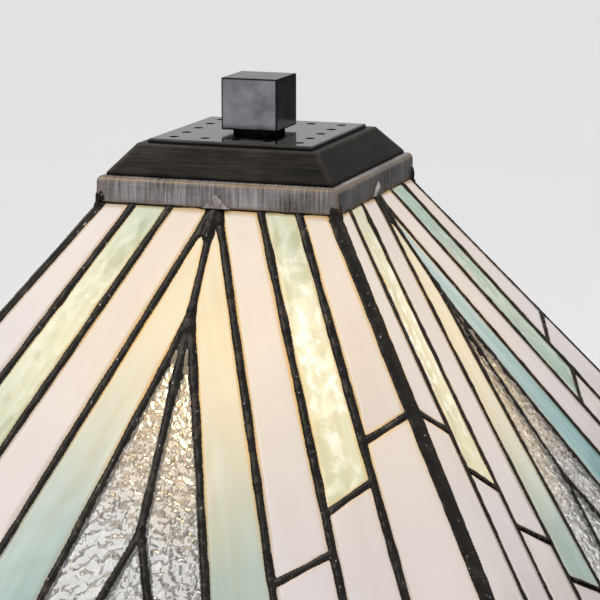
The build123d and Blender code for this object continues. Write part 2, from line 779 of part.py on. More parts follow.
def make_neck():
    """The turned collar between the capital and the hub."""
    with BuildPart() as neck:
        bar(neck_radius, neck_z, neck_height)
        with BuildSketch(upright_plane(0)):
            with Locations((neck_radius, neck_z + neck_height / 2)):
                Circle(neck_groove)
        revolve(axis=Axis.Z, mode=Mode.SUBTRACT)
        tube_hole(neck_z, neck_height)
    finish(neck.part, "neck_collar")


# ---------------------------------------------------------------- base
def make_base_shell():
    """The hollow cast base: a square band, a sloping roof and a low crown."""
    with BuildPart() as base:
        square_block(base_half, base_z, base_band_height)
        fillet(base.edges().group_by(Axis.Z)[-1], base_band_round)
        square_taper(slope_foot_half, band_top_z, slope_top_half, slope_top_z)
        square_block(crown_half, slope_top_z, base_crown_height)
        side_wall = base_wall * hypot(base_slope_run, base_slope_height) / base_slope_height
        foot_inside = slope_foot_half - side_wall + base_wall * base_slope_run / base_slope_height
        band_inside_top = band_top_z - base_wall
        square_block(base_half - base_band_wall, base_z, base_band_height - base_wall, Mode.SUBTRACT)
        square_taper(foot_inside, band_inside_top, foot_inside - base_slope_run,
                     slope_top_z - base_wall, Mode.SUBTRACT)
        square_block(crown_half - base_wall, slope_top_z - base_wall, base_crown_height, Mode.SUBTRACT)
        tube_hole(base_top_z - base_wall, base_wall)
        with BuildSketch(gland_plane(base_half)):
            Circle(gland_bore + gland_wall + fixed_clearance)
        extrude(amount=-base_band_wall, mode=Mode.SUBTRACT)
    finish(base.part, "base_shell")


def gland_plane(distance):
    """The plane square to the cord gland's axis, this far behind the lamp's axis."""
    return Plane(origin=(0, distance, base_z + gland_rise), x_dir=(-1, 0, 0), z_dir=(0, 1, 0))


def make_gland():
    """The flanged bushing that the cord would come through, at the back of the base."""
    body = gland_bore + gland_wall
    with BuildPart() as gland:
        with BuildSketch(gland_plane(base_half)):
            Circle(body + gland_flange)
        extrude(amount=gland_flange_thickness)
        chamfer(gland.edges().sort_by(Axis.Y)[-1], gland_flange_thickness / 3)
        with BuildSketch(gland_plane(base_half)):
            Circle(body)
        extrude(amount=-base_band_wall - gland_tail)
        with BuildSketch(gland_plane(base_half + gland_flange_thickness)):
            Circle(gland_bore)
        extrude(amount=-gland_flange_thickness - base_band_wall - gland_tail, mode=Mode.SUBTRACT)
    finish(gland.part, "cord_gland")


def make_weight():
    """The iron weight under the base's roof, with a pocket for the nut and a way for the cord."""
    with BuildPart() as weight:
        square_block(weight_half, weight_z, weight_height)
        fillet(upright_edges(weight, weight_height / 2), weight_height / 2)
        bar(weight_boss_radius, weight_z + weight_height, base_top_z - base_wall - weight_z - weight_height)
        tube_hole(weight_z, base_top_z - base_wall - weight_z)
        bar(nut_pocket_radius, weight_z, nut_pocket_depth, Mode.SUBTRACT)
        with BuildSketch(Plane.XY.offset(weight_z)):
            with Locations((0, weight_half / 2)):
                Rectangle(cord_channel_width, weight_half)
            with GridLocations(2 * screw_spread, 2 * screw_spread, 2, 2):
                Circle(screw_radius + fixed_clearance)
        extrude(amount=cord_channel_height, mode=Mode.SUBTRACT)
    finish(weight.part, "base_weight")


def make_cover():
    """The flat sheet that closes the base from below."""
    with BuildPart() as cover:
        square_block(base_half - base_band_wall - cover_clearance, base_z, cover_thickness)
        with BuildSketch(Plane.XY.offset(base_z)):
            with GridLocations(2 * screw_spread, 2 * screw_spread, 2, 2):
                Circle(screw_radius + fixed_clearance)
        extrude(amount=cover_thickness, mode=Mode.SUBTRACT)
    finish(cover.part, "base_cover")


def make_cover_screws():
    """Four pan-head screws, through the cover into the weight."""
    with BuildPart() as screws:
        with BuildSketch(Plane.XY.offset(base_z)):
            with GridLocations(2 * screw_spread, 2 * screw_spread, 2, 2):
                Circle(screw_head_radius)
        extrude(amount=-screw_head_height)
        fillet(screws.edges().group_by(Axis.Z)[0], screw_head_height / 2)
        with BuildSketch(Plane.XY.offset(base_z)):
            with GridLocations(2 * screw_spread, 2 * screw_spread, 2, 2):
                Circle(screw_radius)
        extrude(amount=screw_length)
    finish(screws.part, "cover_screws")


def make_pads():
    """Four round rubber pads under the base's corners."""
    spread = 2 * (base_half - base_band_wall - pad_inset)
    with BuildPart() as pads:
        with BuildSketch(Plane.XY):
            with GridLocations(spread, spread, 2, 2):
                Circle(pad_radius)
        extrude(amount=pad_thickness)
        chamfer(pads.edges().group_by(Axis.Z)[0], pad_thickness / 4)
    finish(pads.part, "rubber_pads")


# ---------------------------------------------------------------- build
os.makedirs("parts", exist_ok=True)
for turn, side in enumerate(SIDES):
    for colour in COLOURS:
        make_glass(side, turn, colour)
    make_lead(side, turn)
make_corner_cames()
make_rim()
make_top_ring()
make_spider()
make_vent_cap()
make_vent_plate()
make_finial()
make_tubes()
make_nut("stem_nut", stem_nut_z)
make_nut("seat_nut", seat_z - nut_height)
make_seat()
make_hub()
for side, angle in SOCKETS.items():
    make_arm(side, angle)
    make_socket_shell(side, angle)
    make_switch(side, angle)
    make_bulb(side, angle)
make_socket_insides()
make_column()
make_column_foot()
make_capital()
make_neck()
make_base_shell()
make_gland()
make_weight()
make_cover()
make_cover_screws()
make_pads()
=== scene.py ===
"""A leaded glass table lamp: the finished surfaces, built round the fixed frame of its parts.

Lengths are in metres. The lamp stands at the origin with +Z up, and the front panel of its
shade faces -Y. Each panel is described flat, with "across" measured from its middle and "down"
measured down its slope from the underside of the top ring.
"""

import json
import logging
import math
from dataclasses import dataclass, field
from enum import Enum
from typing import Sequence

import bmesh
import bpy
import numpy as np
from mathutils import Matrix, Vector


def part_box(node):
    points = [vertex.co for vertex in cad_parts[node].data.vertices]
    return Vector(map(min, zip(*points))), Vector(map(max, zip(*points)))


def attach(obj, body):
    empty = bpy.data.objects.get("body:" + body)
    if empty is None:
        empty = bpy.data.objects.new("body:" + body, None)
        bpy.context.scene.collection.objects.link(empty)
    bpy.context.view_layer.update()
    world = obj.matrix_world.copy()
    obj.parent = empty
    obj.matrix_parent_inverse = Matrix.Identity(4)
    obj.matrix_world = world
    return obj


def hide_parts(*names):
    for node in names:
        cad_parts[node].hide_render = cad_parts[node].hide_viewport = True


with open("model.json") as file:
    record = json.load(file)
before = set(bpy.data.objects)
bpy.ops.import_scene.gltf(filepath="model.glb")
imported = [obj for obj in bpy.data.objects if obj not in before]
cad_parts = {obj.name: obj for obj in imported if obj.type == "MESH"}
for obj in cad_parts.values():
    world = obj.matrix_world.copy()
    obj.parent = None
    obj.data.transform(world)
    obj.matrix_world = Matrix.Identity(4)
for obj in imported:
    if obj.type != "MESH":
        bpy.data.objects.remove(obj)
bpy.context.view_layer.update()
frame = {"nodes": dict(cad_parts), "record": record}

MM = 0.001
GLASS_THICKNESS = 2.8 * MM
Rgb = tuple[float, float, float]
log = logging.getLogger("lamp")


class Side(Enum):
    """A panel of the shade; its value is its quarter turns about +Z from the front."""

    FRONT = 0
    RIGHT = 1
    BACK = 2
    LEFT = 3

    @property
    def word(self) -> str:
        """The word that starts the names of this panel's pieces."""
        return self.name.lower()

    @property
    def out(self) -> Vector:
        """The level direction that the panel faces."""
        angle = math.radians(90 * self.value - 90)
        return Vector((math.cos(angle), math.sin(angle), 0))

    @property
    def across(self) -> Vector:
        """The level direction along the panel, to the right of someone who faces it."""
        return Vector((-self.out.y, self.out.x, 0))


class GlassKind(Enum):
    """The sheets that the shade is cut from, named as the frame names them."""

    WHITE = "white"
    GREEN = "green"
    AQUA = "aqua"
    CLEAR = "clear"


# How near the blue-green end of their sheet the long pieces left and right of each panel's
# middle were cut. 0 is yellow and 1 is blue-green, and past them the streaks show less.
CHOSEN_TONES: dict[tuple[Side, GlassKind], tuple[float, float]] = {
    (Side.FRONT, GlassKind.GREEN): (0.25, 0.08),
    (Side.FRONT, GlassKind.AQUA): (0.05, 0.00),
    (Side.RIGHT, GlassKind.GREEN): (-0.10, 0.85),
    (Side.RIGHT, GlassKind.AQUA): (0.00, 0.95),
    (Side.BACK, GlassKind.GREEN): (0.60, 0.35),
    (Side.BACK, GlassKind.AQUA): (0.80, 0.30),
    (Side.LEFT, GlassKind.GREEN): (0.30, 0.65),
    (Side.LEFT, GlassKind.AQUA): (0.30, 0.70),
}


# ---------------------------------------------------------------- small tools
def smooth_noise(points: np.ndarray, seed: int) -> np.ndarray:
    """Smooth value noise in two dimensions.

    Args:
        points: An (n, 2) array, with one cell of the noise for each unit.
        seed: Picks a pattern.

    Returns:
        An (n,) array of values from -1 to 1.
    """
    cell = np.floor(points).astype(np.int64)
    part = points - cell
    ease = part * part * (3 - 2 * part)
    total = np.zeros(len(points))
    for dx in (0, 1):
        for dy in (0, 1):
            corner = hashed(cell[:, 0] + dx, cell[:, 1] + dy, seed)
            weight_x = ease[:, 0] if dx else 1 - ease[:, 0]
            weight_y = ease[:, 1] if dy else 1 - ease[:, 1]
            total += corner * weight_x * weight_y
    return 2 * total - 1


def hashed(x: np.ndarray, y: np.ndarray, seed: int) -> np.ndarray:
    """A fixed pseudo-random value from 0 to 1 for each pair of whole numbers."""
    mixed = (x * 374761393 + y * 668265263 + seed * 1442695041) & 0xFFFFFFFF
    mixed = ((mixed ^ (mixed >> 13)) * 1274126177) & 0xFFFFFFFF
    return ((mixed ^ (mixed >> 16)) & 0xFFFF) / 65535.0


def layered_noise(points: np.ndarray, seed: int, layers: int = 3) -> np.ndarray:
    """Value noise with finer layers added, each half as strong as the one before."""
    total = np.zeros(len(points))
    for layer in range(layers):
        total += smooth_noise(points * 2**layer, seed + layer) / 2**layer
    return total


def facets(points: np.ndarray, seed: int) -> tuple[np.ndarray, np.ndarray]:
    """A cellular pattern of tilted facets, as on hammered glass.

    Args:
        points: An (n, 2) array, with about one facet for each unit.
        seed: Picks a pattern.

    Returns:
        How far inside its facet each point is, 0 at the crease and about 1 in the middle, and
        the height of the tilted facet there for a slope of 1.
    """
    beyond = 9.0  # further than the middle of any neighbouring facet
    steepness = 4.5  # of the fall from a facet to its crease
    cell = np.floor(points).astype(np.int64)
    near = np.full(len(points), beyond)
    second = np.full(len(points), beyond)
    tilt = np.zeros(len(points))
    for dx in (-1, 0, 1):
        for dy in (-1, 0, 1):
            cx, cy = cell[:, 0] + dx, cell[:, 1] + dy
            off_x = points[:, 0] - cx - hashed(cx, cy, seed)
            off_y = points[:, 1] - cy - hashed(cx, cy, seed + 7)
            away = np.hypot(off_x, off_y)
            way = 2 * math.pi * hashed(cx, cy, seed + 11)
            tilt = np.where(away < near, off_x * np.cos(way) + off_y * np.sin(way), tilt)
            second = np.minimum(second, np.maximum(near, away))
            near = np.minimum(near, away)
    return np.clip((second - near) * steepness, 0, 1), tilt


def hull(points: Sequence[tuple[float, float]]) -> np.ndarray:
    """The convex outline of some flat points.

    Args:
        points: (across, down) pairs, in any order.

    Returns:
        An (n, 2) array of the outline's corners, anticlockwise.
    """
    ordered = sorted(set(points))

    def half(run: Sequence[tuple[float, float]]) -> list[tuple[float, float]]:
        """One side of the outline."""
        kept: list[tuple[float, float]] = []
        for p in run:
            while len(kept) > 1 and ((kept[-1][0] - kept[-2][0]) * (p[1] - kept[-2][1])
                                     - (kept[-1][1] - kept[-2][1]) * (p[0] - kept[-2][0])) < 1e-9:
                kept.pop()
            kept.append(p)
        return kept[:-1]

    return np.array(half(ordered) + half(ordered[::-1]))


def outside_distance(points: np.ndarray, outline: np.ndarray) -> np.ndarray:
    """How far points lie outside a convex outline.

    Args:
        points: An (n, 2) array.
        outline: The outline's corners, anticlockwise.

    Returns:
        An (n,) array of distances, negative inside the outline.
    """
    ahead = np.roll(outline, -1, axis=0) - outline
    normal = np.stack([ahead[:, 1], -ahead[:, 0]], axis=1) / np.linalg.norm(ahead, axis=1)[:, None]
    return np.max(points @ normal.T - np.sum(outline * normal, axis=1), axis=1)


def linked(name: str, data: bpy.types.ID) -> bpy.types.Object:
    """Makes an object with this data and links it into the scene."""
    made = bpy.data.objects.new(name, data)
    bpy.context.scene.collection.objects.link(made)
    return made


def new_piece(name: str, points: np.ndarray, faces: Sequence[Sequence[int]], smooth: bool = True,
              values: dict[str, np.ndarray] | None = None) -> bpy.types.Object:
    """Makes a mesh object.

    Args:
        name: The piece's name.
        points: An (n, 3) array, in metres.
        faces: The corners of each face.
        smooth: Whether the faces are shaded smooth.
        values: Named numbers for each point, for the material to read.

    Returns:
        The object, linked into the scene.
    """
    mesh = bpy.data.meshes.new(name)
    mesh.from_pydata(points.tolist(), [], [list(map(int, f)) for f in faces])
    for key, value in (values or {}).items():
        attribute = mesh.attributes.new(key, "FLOAT", "POINT")
        attribute.data.foreach_set("value", np.asarray(value, np.float32))
    mesh.validate()
    for polygon in mesh.polygons:
        polygon.use_smooth = smooth
    return linked(name, mesh)


def closed_slab(front: np.ndarray, back: np.ndarray, faces: list[tuple[int, ...]]) -> tuple[
        np.ndarray, list[tuple[int, ...]]]:
    """Joins a front surface and a back surface with the same faces into one closed skin.

    Args:
        front: The front points.
        back: The back points, in the same order.
        faces: The front faces, anticlockwise seen from the front.

    Returns:
        The points and the faces of the closed skin.
    """
    count = len(front)
    rim: dict[tuple[int, int], None] = {}  # edges with a face on one side only, in order
    for face in faces:
        for i, a in enumerate(face):
            b = face[(i + 1) % len(face)]
            if (b, a) in rim:
                del rim[(b, a)]
            else:
                rim[(a, b)] = None
    skin = list(faces) + [tuple(count + i for i in reversed(face)) for face in faces]
    skin += [(b, a, count + a, count + b) for a, b in rim]
    return np.vstack([front, back]), skin


def clean(piece: bpy.types.Object) -> None:
    """Welds a piece's points that coincide and removes its faces with no area."""
    work = bmesh.new()
    work.from_mesh(piece.data)
    bmesh.ops.remove_doubles(work, verts=work.verts, dist=0.002 * MM)
    bmesh.ops.dissolve_degenerate(work, edges=work.edges, dist=0.002 * MM)
    bmesh.ops.recalc_face_normals(work, faces=work.faces)
    work.to_mesh(piece.data)
    work.free()


def settle(piece: bpy.types.Object, body: str, slot: str, *nodes: str) -> None:
    """Gives a piece its place in the lamp.

    Args:
        piece: The piece.
        body: The body that it rides on.
        slot: Its material slot; not used.
        nodes: The frame nodes that it stands for, which are hidden.
    """
    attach(piece, body)
    if nodes:
        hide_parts(*nodes)
    log.info("%s: %d faces on %s", piece.name, len(piece.data.polygons), body)


def loose_parts(node: str) -> list[np.ndarray]:
    """The points of each separate solid of a frame node.

    Args:
        node: The node's name.

    Returns:
        An (n, 3) array for each solid, in the frame's metres, always in the same order.
    """
    work = bmesh.new()
    work.from_mesh(frame["nodes"][node].data)
    bmesh.ops.remove_doubles(work, verts=work.verts, dist=0.001 * MM)
    waiting = set(work.verts)
    parts = []
    while waiting:
        reached = [waiting.pop()]
        found = []
        while reached:
            here = reached.pop()
            found.append(tuple(here.co))
            for link in here.link_edges:
                there = link.other_vert(here)
                if there in waiting:
                    waiting.remove(there)
                    reached.append(there)
        parts.append(np.array(found))
    work.free()

    def box(points: np.ndarray) -> tuple[float, ...]:
        """The corners of a solid's box, to a tenth of a millimetre."""
        return tuple(np.round([points.max(axis=0), points.min(axis=0)], 4).ravel())

    return sorted(parts, key=box)


# ---------------------------------------------------------------- finishes
GLOW_FADES = (60 * MM, 135 * MM)  # from the middle of a bulb's painted glow
COOL_BY_RING = (40 * MM, 85 * MM)  # down a panel, where the bluer glass by the ring ends
BULB_LIGHT_BELOW_RING = (35 * MM, 85 * MM)  # where the painted bulb light comes up to its full strength
COOL_LOW = (80 * MM, 190 * MM)  # where the sheets turn bluer towards the rim


@dataclass
class Graph:
    """A node material under construction."""

    name: str
    material: bpy.types.Material = field(init=False)
    shader: bpy.types.Node = field(init=False)

    def __post_init__(self) -> None:
        """Starts the material with one principled shader."""
        self.material = bpy.data.materials.new(self.name)
        self.material.use_nodes = True
        self.shader = self.material.node_tree.nodes["Principled BSDF"]

    def add(self, kind: str, **settings: object) -> bpy.types.Node:
        """Adds a node; settings are its properties, or its inputs where they name one."""
        node = self.material.node_tree.nodes.new(kind)
        for key, value in settings.items():
            if hasattr(node, key):
                setattr(node, key, value)
            else:
                node.inputs[key.replace("_", " ")].default_value = value
        return node

    def join(self, source: bpy.types.NodeSocket, target: bpy.types.NodeSocket) -> None:
        """Links two sockets."""
        self.material.node_tree.links.new(source, target)

    def set(self, **values: object) -> None:
        """Sets the shader's own sockets, with spaces in their names written as underlines."""
        for key, value in values.items():
            self.shader.inputs[key.replace("_", " ")].default_value = value

    def value(self, name: str) -> bpy.types.NodeSocket:
        """A number that the mesh carries at each point."""
        return self.add("ShaderNodeAttribute", attribute_name=name).outputs["Fac"]

    def place(self, scale: tuple[float, float, float] = (1, 1, 1)) -> bpy.types.NodeSocket:
        """The object's own coordinates, stretched by scale."""
        mapping = self.add("ShaderNodeMapping")
        mapping.inputs["Scale"].default_value = scale
        self.join(self.add("ShaderNodeTexCoord").outputs["Object"], mapping.inputs["Vector"])
        return mapping.outputs["Vector"]

    def flow(self, across: float, down: float) -> bpy.types.NodeSocket:
        """Coordinates that run with the piece: across and down it, each with its own scale."""
        joined = self.add("ShaderNodeCombineXYZ")
        for name, scale, target in (("across", across, "X"), ("down", down, "Y"), ("tone", 9.0, "Z")):
            self.join(self.math("MULTIPLY", self.value(name), scale), joined.inputs[target])
        return joined.outputs["Vector"]

    def math(self, operation: str, a: bpy.types.NodeSocket,
             b: bpy.types.NodeSocket | float) -> bpy.types.NodeSocket:
        """One step of arithmetic on a socket and a number or a second socket."""
        node = self.add("ShaderNodeMath", operation=operation)
        self.join(a, node.inputs[0])
        if isinstance(b, (int, float)):
            node.inputs[1].default_value = b
        else:
            self.join(b, node.inputs[1])
        return node.outputs["Value"]

    def noise(self, vector: bpy.types.NodeSocket, scale: float, detail: float = 3.0,
              roughness: float = 0.5, distortion: float = 0.0) -> bpy.types.NodeSocket:
        """A cloudy pattern.

        Args:
            vector: The coordinates that it is laid out on.
            scale: How many clouds there are in a metre.
            detail: How many finer layers are added.
            roughness: How strong each finer layer is.
            distortion: How far the clouds are pulled about.

        Returns:
            The pattern, from 0 to 1.
        """
        node = self.add("ShaderNodeTexNoise", Scale=scale, Detail=detail, Roughness=roughness,
                        Distortion=distortion)
        self.join(vector, node.inputs["Vector"])
        return node.outputs["Fac"]

    def ramp(self, source: bpy.types.NodeSocket, stops: Sequence[tuple[float, Rgb]]) -> bpy.types.NodeSocket:
        """Turns a number into a colour through some stops."""
        node = self.add("ShaderNodeValToRGB")
        while len(node.color_ramp.elements) < len(stops):
            node.color_ramp.elements.new(0.5)
        for element, (position, colour) in zip(node.color_ramp.elements, stops):
            element.position = position
            element.color = (*colour, 1)
        self.join(source, node.inputs["Fac"])
        return node.outputs["Color"]

    def span(self, source: bpy.types.NodeSocket, low: float, high: float, to_low: float = 0.0,
             to_high: float = 1.0) -> bpy.types.NodeSocket:
        """Carries one range of numbers over to another.

        Args:
            source: The number.
            low: Where the range starts.
            high: Where it ends.
            to_low: What the start becomes.
            to_high: What the end becomes.

        Returns:
            The new number, held at the ends of its range.
        """
        node = self.add("ShaderNodeMapRange")
        for key, number in (("From Min", low), ("From Max", high), ("To Min", to_low), ("To Max", to_high)):
            node.inputs[key].default_value = number
        self.join(source, node.inputs["Value"])
        return node.outputs["Result"]

    def mix(self, share: bpy.types.NodeSocket, a: bpy.types.NodeSocket | Rgb,
            b: bpy.types.NodeSocket | Rgb) -> bpy.types.NodeSocket:
        """Blends two colours.

        Args:
            share: How much of the second colour shows, from 0 to 1.
            a: The first colour, a socket or a fixed colour.
            b: The second colour, the same way.

        Returns:
            The blended colour.
        """
        node = self.add("ShaderNodeMix", data_type="RGBA")
        self.join(share, node.inputs[0])
        for index, colour in ((6, a), (7, b)):
            if isinstance(colour, tuple):
                node.inputs[index].default_value = (*colour, 1)
            else:
                self.join(colour, node.inputs[index])
        return node.outputs[2]

    def bump(self, height: bpy.types.NodeSocket, depth: float, strength: float = 1.0) -> None:
        """Lets a height pattern, up to depth metres, tilt the shader's normal."""
        node = self.add("ShaderNodeBump", Strength=strength, Distance=depth)
        self.join(height, node.inputs["Height"])
        self.join(node.outputs["Normal"], self.shader.inputs["Normal"])

    def nearness(self, wander: bpy.types.NodeSocket) -> bpy.types.NodeSocket:
        """How near the bulbs a point is; it sets where bulb light is painted on the glass.

        Args:
            wander: A cloudy pattern that breaks up the edge of the painted lit patch.

        Returns:
            1 near a bulb, falling to 0 away from both.
        """
        glow_middle = 30 * MM  # below the top of a bulb
        spots = []
        for side in ("front", "back"):
            low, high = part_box(f"{side}_bulb_glass")
            away = self.add("ShaderNodeVectorMath", operation="DISTANCE")
            self.join(self.place(), away.inputs[0])
            away.inputs[1].default_value = ((low.x + high.x) / 2, (low.y + high.y) / 2, high.z - glow_middle)
            spots.append(away.outputs["Value"])
        closest = self.math("ADD", self.math("MINIMUM", *spots), self.math("MULTIPLY", wander, 0.03))
        return self.span(closest, *GLOW_FADES, 1.0, 0.0)

    def colour(self, source: bpy.types.NodeSocket) -> None:
        """Feeds the shader's colour."""
        self.join(source, self.shader.inputs["Base Color"])

    def rough(self, source: bpy.types.NodeSocket) -> None:
        """Feeds the shader's roughness."""
        self.join(source, self.shader.inputs["Roughness"])


@dataclass(frozen=True)
class OpalescentGlass:
    """Milky sheet glass, streaked along the sheet. Painted bulb light: it glows a little all over, and where
    the bulbs are close it turns warm, glows more and has glints on its ripples.
    """

    name: str
    yellow: tuple[Rgb, Rgb, Rgb]  # darker, middle and lighter streak at the sheet's yellow end
    blue: tuple[Rgb, Rgb, Rgb]  # the same at its blue-green end
    warm: tuple[Rgb, Rgb]  # painted bulb light: the sheet's colour by the bulbs, darker and lighter
    # How much painted bulb light the yellower pieces take; the bluest take a quarter of it.
    bulb_light_strength: float = 0.9
    cooling: float = 0.4  # how much bluer the sheet is low on the panel
    streak_across: float = 90.0
    streak_down: float = 9.0
    cool_top: float = 0.0  # how much bluer the sheet is by the ring
    bulb_light_by_ring: float = 0.45  # how much of the painted bulb light shows by the ring
    # Painted glow: emission of the glass's own colour, this much all over and more by the bulbs.
    glow: float = 0.07
    painted_bulb_glow: float = 0.14
    gloss: float = 0.2
    streak: float = 0.12  # how far the streaks swing between the sheet's two ends
    ripple: float = 0.10 * MM
    glint_share: float = 0.0  # painted glints: how bright the ripple crests are painted near the bulbs
    # Colour of the painted glints.
    glint_tint: Rgb = (1.0, 0.95, 0.80)
    foil_edge_and_glow: Rgb = (0.74, 0.44, 0.14)  # copper foil colour at the glass edge beside the solder; its extra strength near the bulbs is painted bulb light

    def make(self) -> bpy.types.Material:
        """Builds the material."""
        g = Graph(self.name)
        wander = g.noise(g.flow(22.0, 14.0), 1.0, 2.0)
        cloud = g.noise(g.flow(self.streak_across, self.streak_down), 1.0, 4.0, 0.55, 0.6)
        ends = [g.ramp(cloud, tuple(zip((0.30, 0.5, 0.70), colours))) for colours in (self.yellow, self.blue)]
        depth = g.math("ADD", g.value("down"), g.math("MULTIPLY", wander, 0.06))
        share = g.math("ADD", g.value("tone"), g.span(cloud, 0.25, 0.75, -self.streak, self.streak))
        share = g.math("ADD", share, g.span(depth, *COOL_LOW, 0.0, self.cooling))
        share = g.math("ADD", share, g.span(depth, *COOL_BY_RING, self.cool_top, 0.0))
        low = g.mix(g.span(share, 0.0, 1.0), *ends)
        high = g.ramp(cloud, ((0.30, self.warm[0]), (0.70, self.warm[1])))
        # Painted bulb light: near the bulbs the colour turns to the lit colours, less by the ring and on the
        # bluer pieces.
        near = g.math("MULTIPLY", g.nearness(wander), g.span(depth, *BULB_LIGHT_BELOW_RING, self.bulb_light_by_ring, 1.0))
        warm = g.math("MULTIPLY", near, g.span(g.value("tone"), 0.1, 0.9, self.bulb_light_strength, 0.25 * self.bulb_light_strength))
        body = g.mix(warm, low, high)
        ripples = g.noise(g.flow(240.0, 150.0), 1.0, 2.0)
        # Painted highlights on the ripple crests near the bulbs.
        glints = g.math("MULTIPLY", g.span(ripples, 0.50, 0.62, 0.0, self.glint_share), near)
        body = g.mix(glints, body, self.glint_tint)
        # Copper foil colour along the glass edge, made stronger near the bulbs as painted bulb light.
        foil_edge_and_glow = g.span(g.value("edge"), 0.8 * MM, 1.7 * MM, 1.0, 0.0)
        foil_edge_and_glow = g.math("MULTIPLY", foil_edge_and_glow, g.span(wander, 0.35, 0.7, 0.45, 0.95))
        foil_edge_and_glow = g.math("MULTIPLY", foil_edge_and_glow, g.span(near, 0.0, 0.5, 0.3, 1.0))
        body = g.mix(foil_edge_and_glow, body, self.foil_edge_and_glow)
        g.colour(body)
        # Painted glow: the glass emits its own colour, more strongly near the bulbs.
        g.join(body, g.shader.inputs["Emission Color"])
        painted_glow_strength = g.span(near, 0.0, 1.0, self.glow, self.glow + self.painted_bulb_glow)
        g.join(painted_glow_strength, g.shader.inputs["Emission Strength"])
        g.set(IOR=1.5, Coat_Weight=self.gloss, Coat_Roughness=0.03)
        g.rough(g.span(g.noise(g.place(), 60.0), 0.3, 0.7, 0.12, 0.24))
        g.bump(ripples, self.ripple, 0.6)
        return g.material


@dataclass(frozen=True)
class HammeredGlass:
    """Clear sheet glass; its pebbled relief is in the mesh. Close to the bulbs it has painted bulb light: a
    warm colour and a glow.
    """

    name: str = "hammered_clear_glass"
    # Colour of the painted bulb light.
    warm: Rgb = (1.0, 0.73, 0.40)

    def make(self) -> bpy.types.Material:
        """Builds the material."""
        g = Graph(self.name)
        sheet = g.ramp(g.noise(g.place(), 40.0), ((0.3, (0.74, 0.725, 0.69)), (0.7, (0.86, 0.85, 0.82))))
        # Painted bulb light: warm colour and glow near the bulbs.
        near = g.nearness(g.noise(g.place(), 60.0))
        g.colour(g.mix(g.math("MULTIPLY", near, 0.8), sheet, self.warm))
        g.shader.inputs["Emission Color"].default_value = (*self.warm, 1)
        g.join(g.math("MULTIPLY", near, 0.14), g.shader.inputs["Emission Strength"])
        g.set(Transmission_Weight=0.86, IOR=1.48)
        g.rough(g.span(g.noise(g.place(), 300.0), 0.3, 0.7, 0.02, 0.10))
        g.bump(g.noise(g.place(), 700.0, 2.0), 0.02 * MM, 0.3)
        return g.material


@dataclass(frozen=True)
class SolderPatina:
    """Solder lines, blackened with patina and waxed."""

    name: str = "black_solder_patina"

    def make(self) -> bpy.types.Material:
        """Builds the material."""
        g = Graph(self.name)
        stain = g.noise(g.place(), 170.0, 4.0, 0.6)
        patina = g.ramp(stain, ((0.32, (0.007, 0.006, 0.005)), (0.58, (0.016, 0.013, 0.010)),
                                (0.80, (0.060, 0.045, 0.029))))
        nicks = g.span(g.noise(g.place((1.0, 1.0, 0.35)), 760.0, 2.0, 0.7), 0.68, 0.73)
        g.colour(g.mix(nicks, patina, (0.30, 0.27, 0.24)))
        g.set(Metallic=1.0, Specular_Tint=(0.50, 0.47, 0.43, 1), Coat_Weight=0.22, Coat_Roughness=0.06)
        g.rough(g.span(g.noise(g.place(), 420.0, 3.0), 0.35, 0.65, 0.10, 0.34))
        g.bump(g.noise(g.place(), 430.0, 3.0, 0.55), 0.36 * MM, 0.8)
        return g.material


@dataclass(frozen=True)
class BrushedPatina:
    """Metal brushed by hand under a patina, with its arrises rubbed bright.

    The mesh carries "across" and "down" in metres, "lengthwise" from 0 where the brush ran
    across to 1 where it ran down, and "worn" from 0 to 1 towards an arris.
    """

    name: str
    dark: Rgb
    middle: Rgb
    light: Rgb
    worn: Rgb
    roughness: tuple[float, float] = (0.3, 0.5)
    scratch: float = 0.10 * MM
    crossed: float = 0.2  # how much of the brushing ran square to the rest
    glancing: float = 0.8  # how bright it is seen edge on
    fineness: float = 1100.0  # brush lines in a metre

    def make(self) -> bpy.types.Material:
        """Builds the material."""
        g = Graph(self.name)
        along = g.noise(g.flow(45.0, self.fineness), 1.0, 4.0, 0.65)
        upright = g.noise(g.flow(self.fineness, 45.0), 1.0, 4.0, 0.65)
        hair = g.add("ShaderNodeMix", data_type="FLOAT")
        g.join(g.value("lengthwise"), hair.inputs[0])
        g.join(along, hair.inputs[2])
        g.join(upright, hair.inputs[3])
        both = g.math("MULTIPLY", g.math("ADD", along, upright), 0.5)
        hair = g.math("ADD", g.math("MULTIPLY", hair.outputs[0], 1 - self.crossed),
                      g.math("MULTIPLY", both, self.crossed))
        stain = g.noise(g.place(), 45.0, 4.0, 0.6)
        tone = g.math("ADD", g.math("MULTIPLY", hair, 0.6), g.math("MULTIPLY", stain, 0.4))
        body = g.ramp(tone, ((0.36, self.dark), (0.5, self.middle), (0.66, self.light)))
        rubbed = g.math("MULTIPLY", g.value("worn"), g.span(stain, 0.3, 0.65, 0.35, 1.0))
        g.colour(g.mix(rubbed, body, self.worn))
        g.set(Metallic=1.0, Specular_Tint=(self.glancing, self.glancing, self.glancing, 1))
        g.rough(g.span(hair, 0.3, 0.7, *self.roughness))
        g.bump(hair, self.scratch, 0.8)
        return g.material


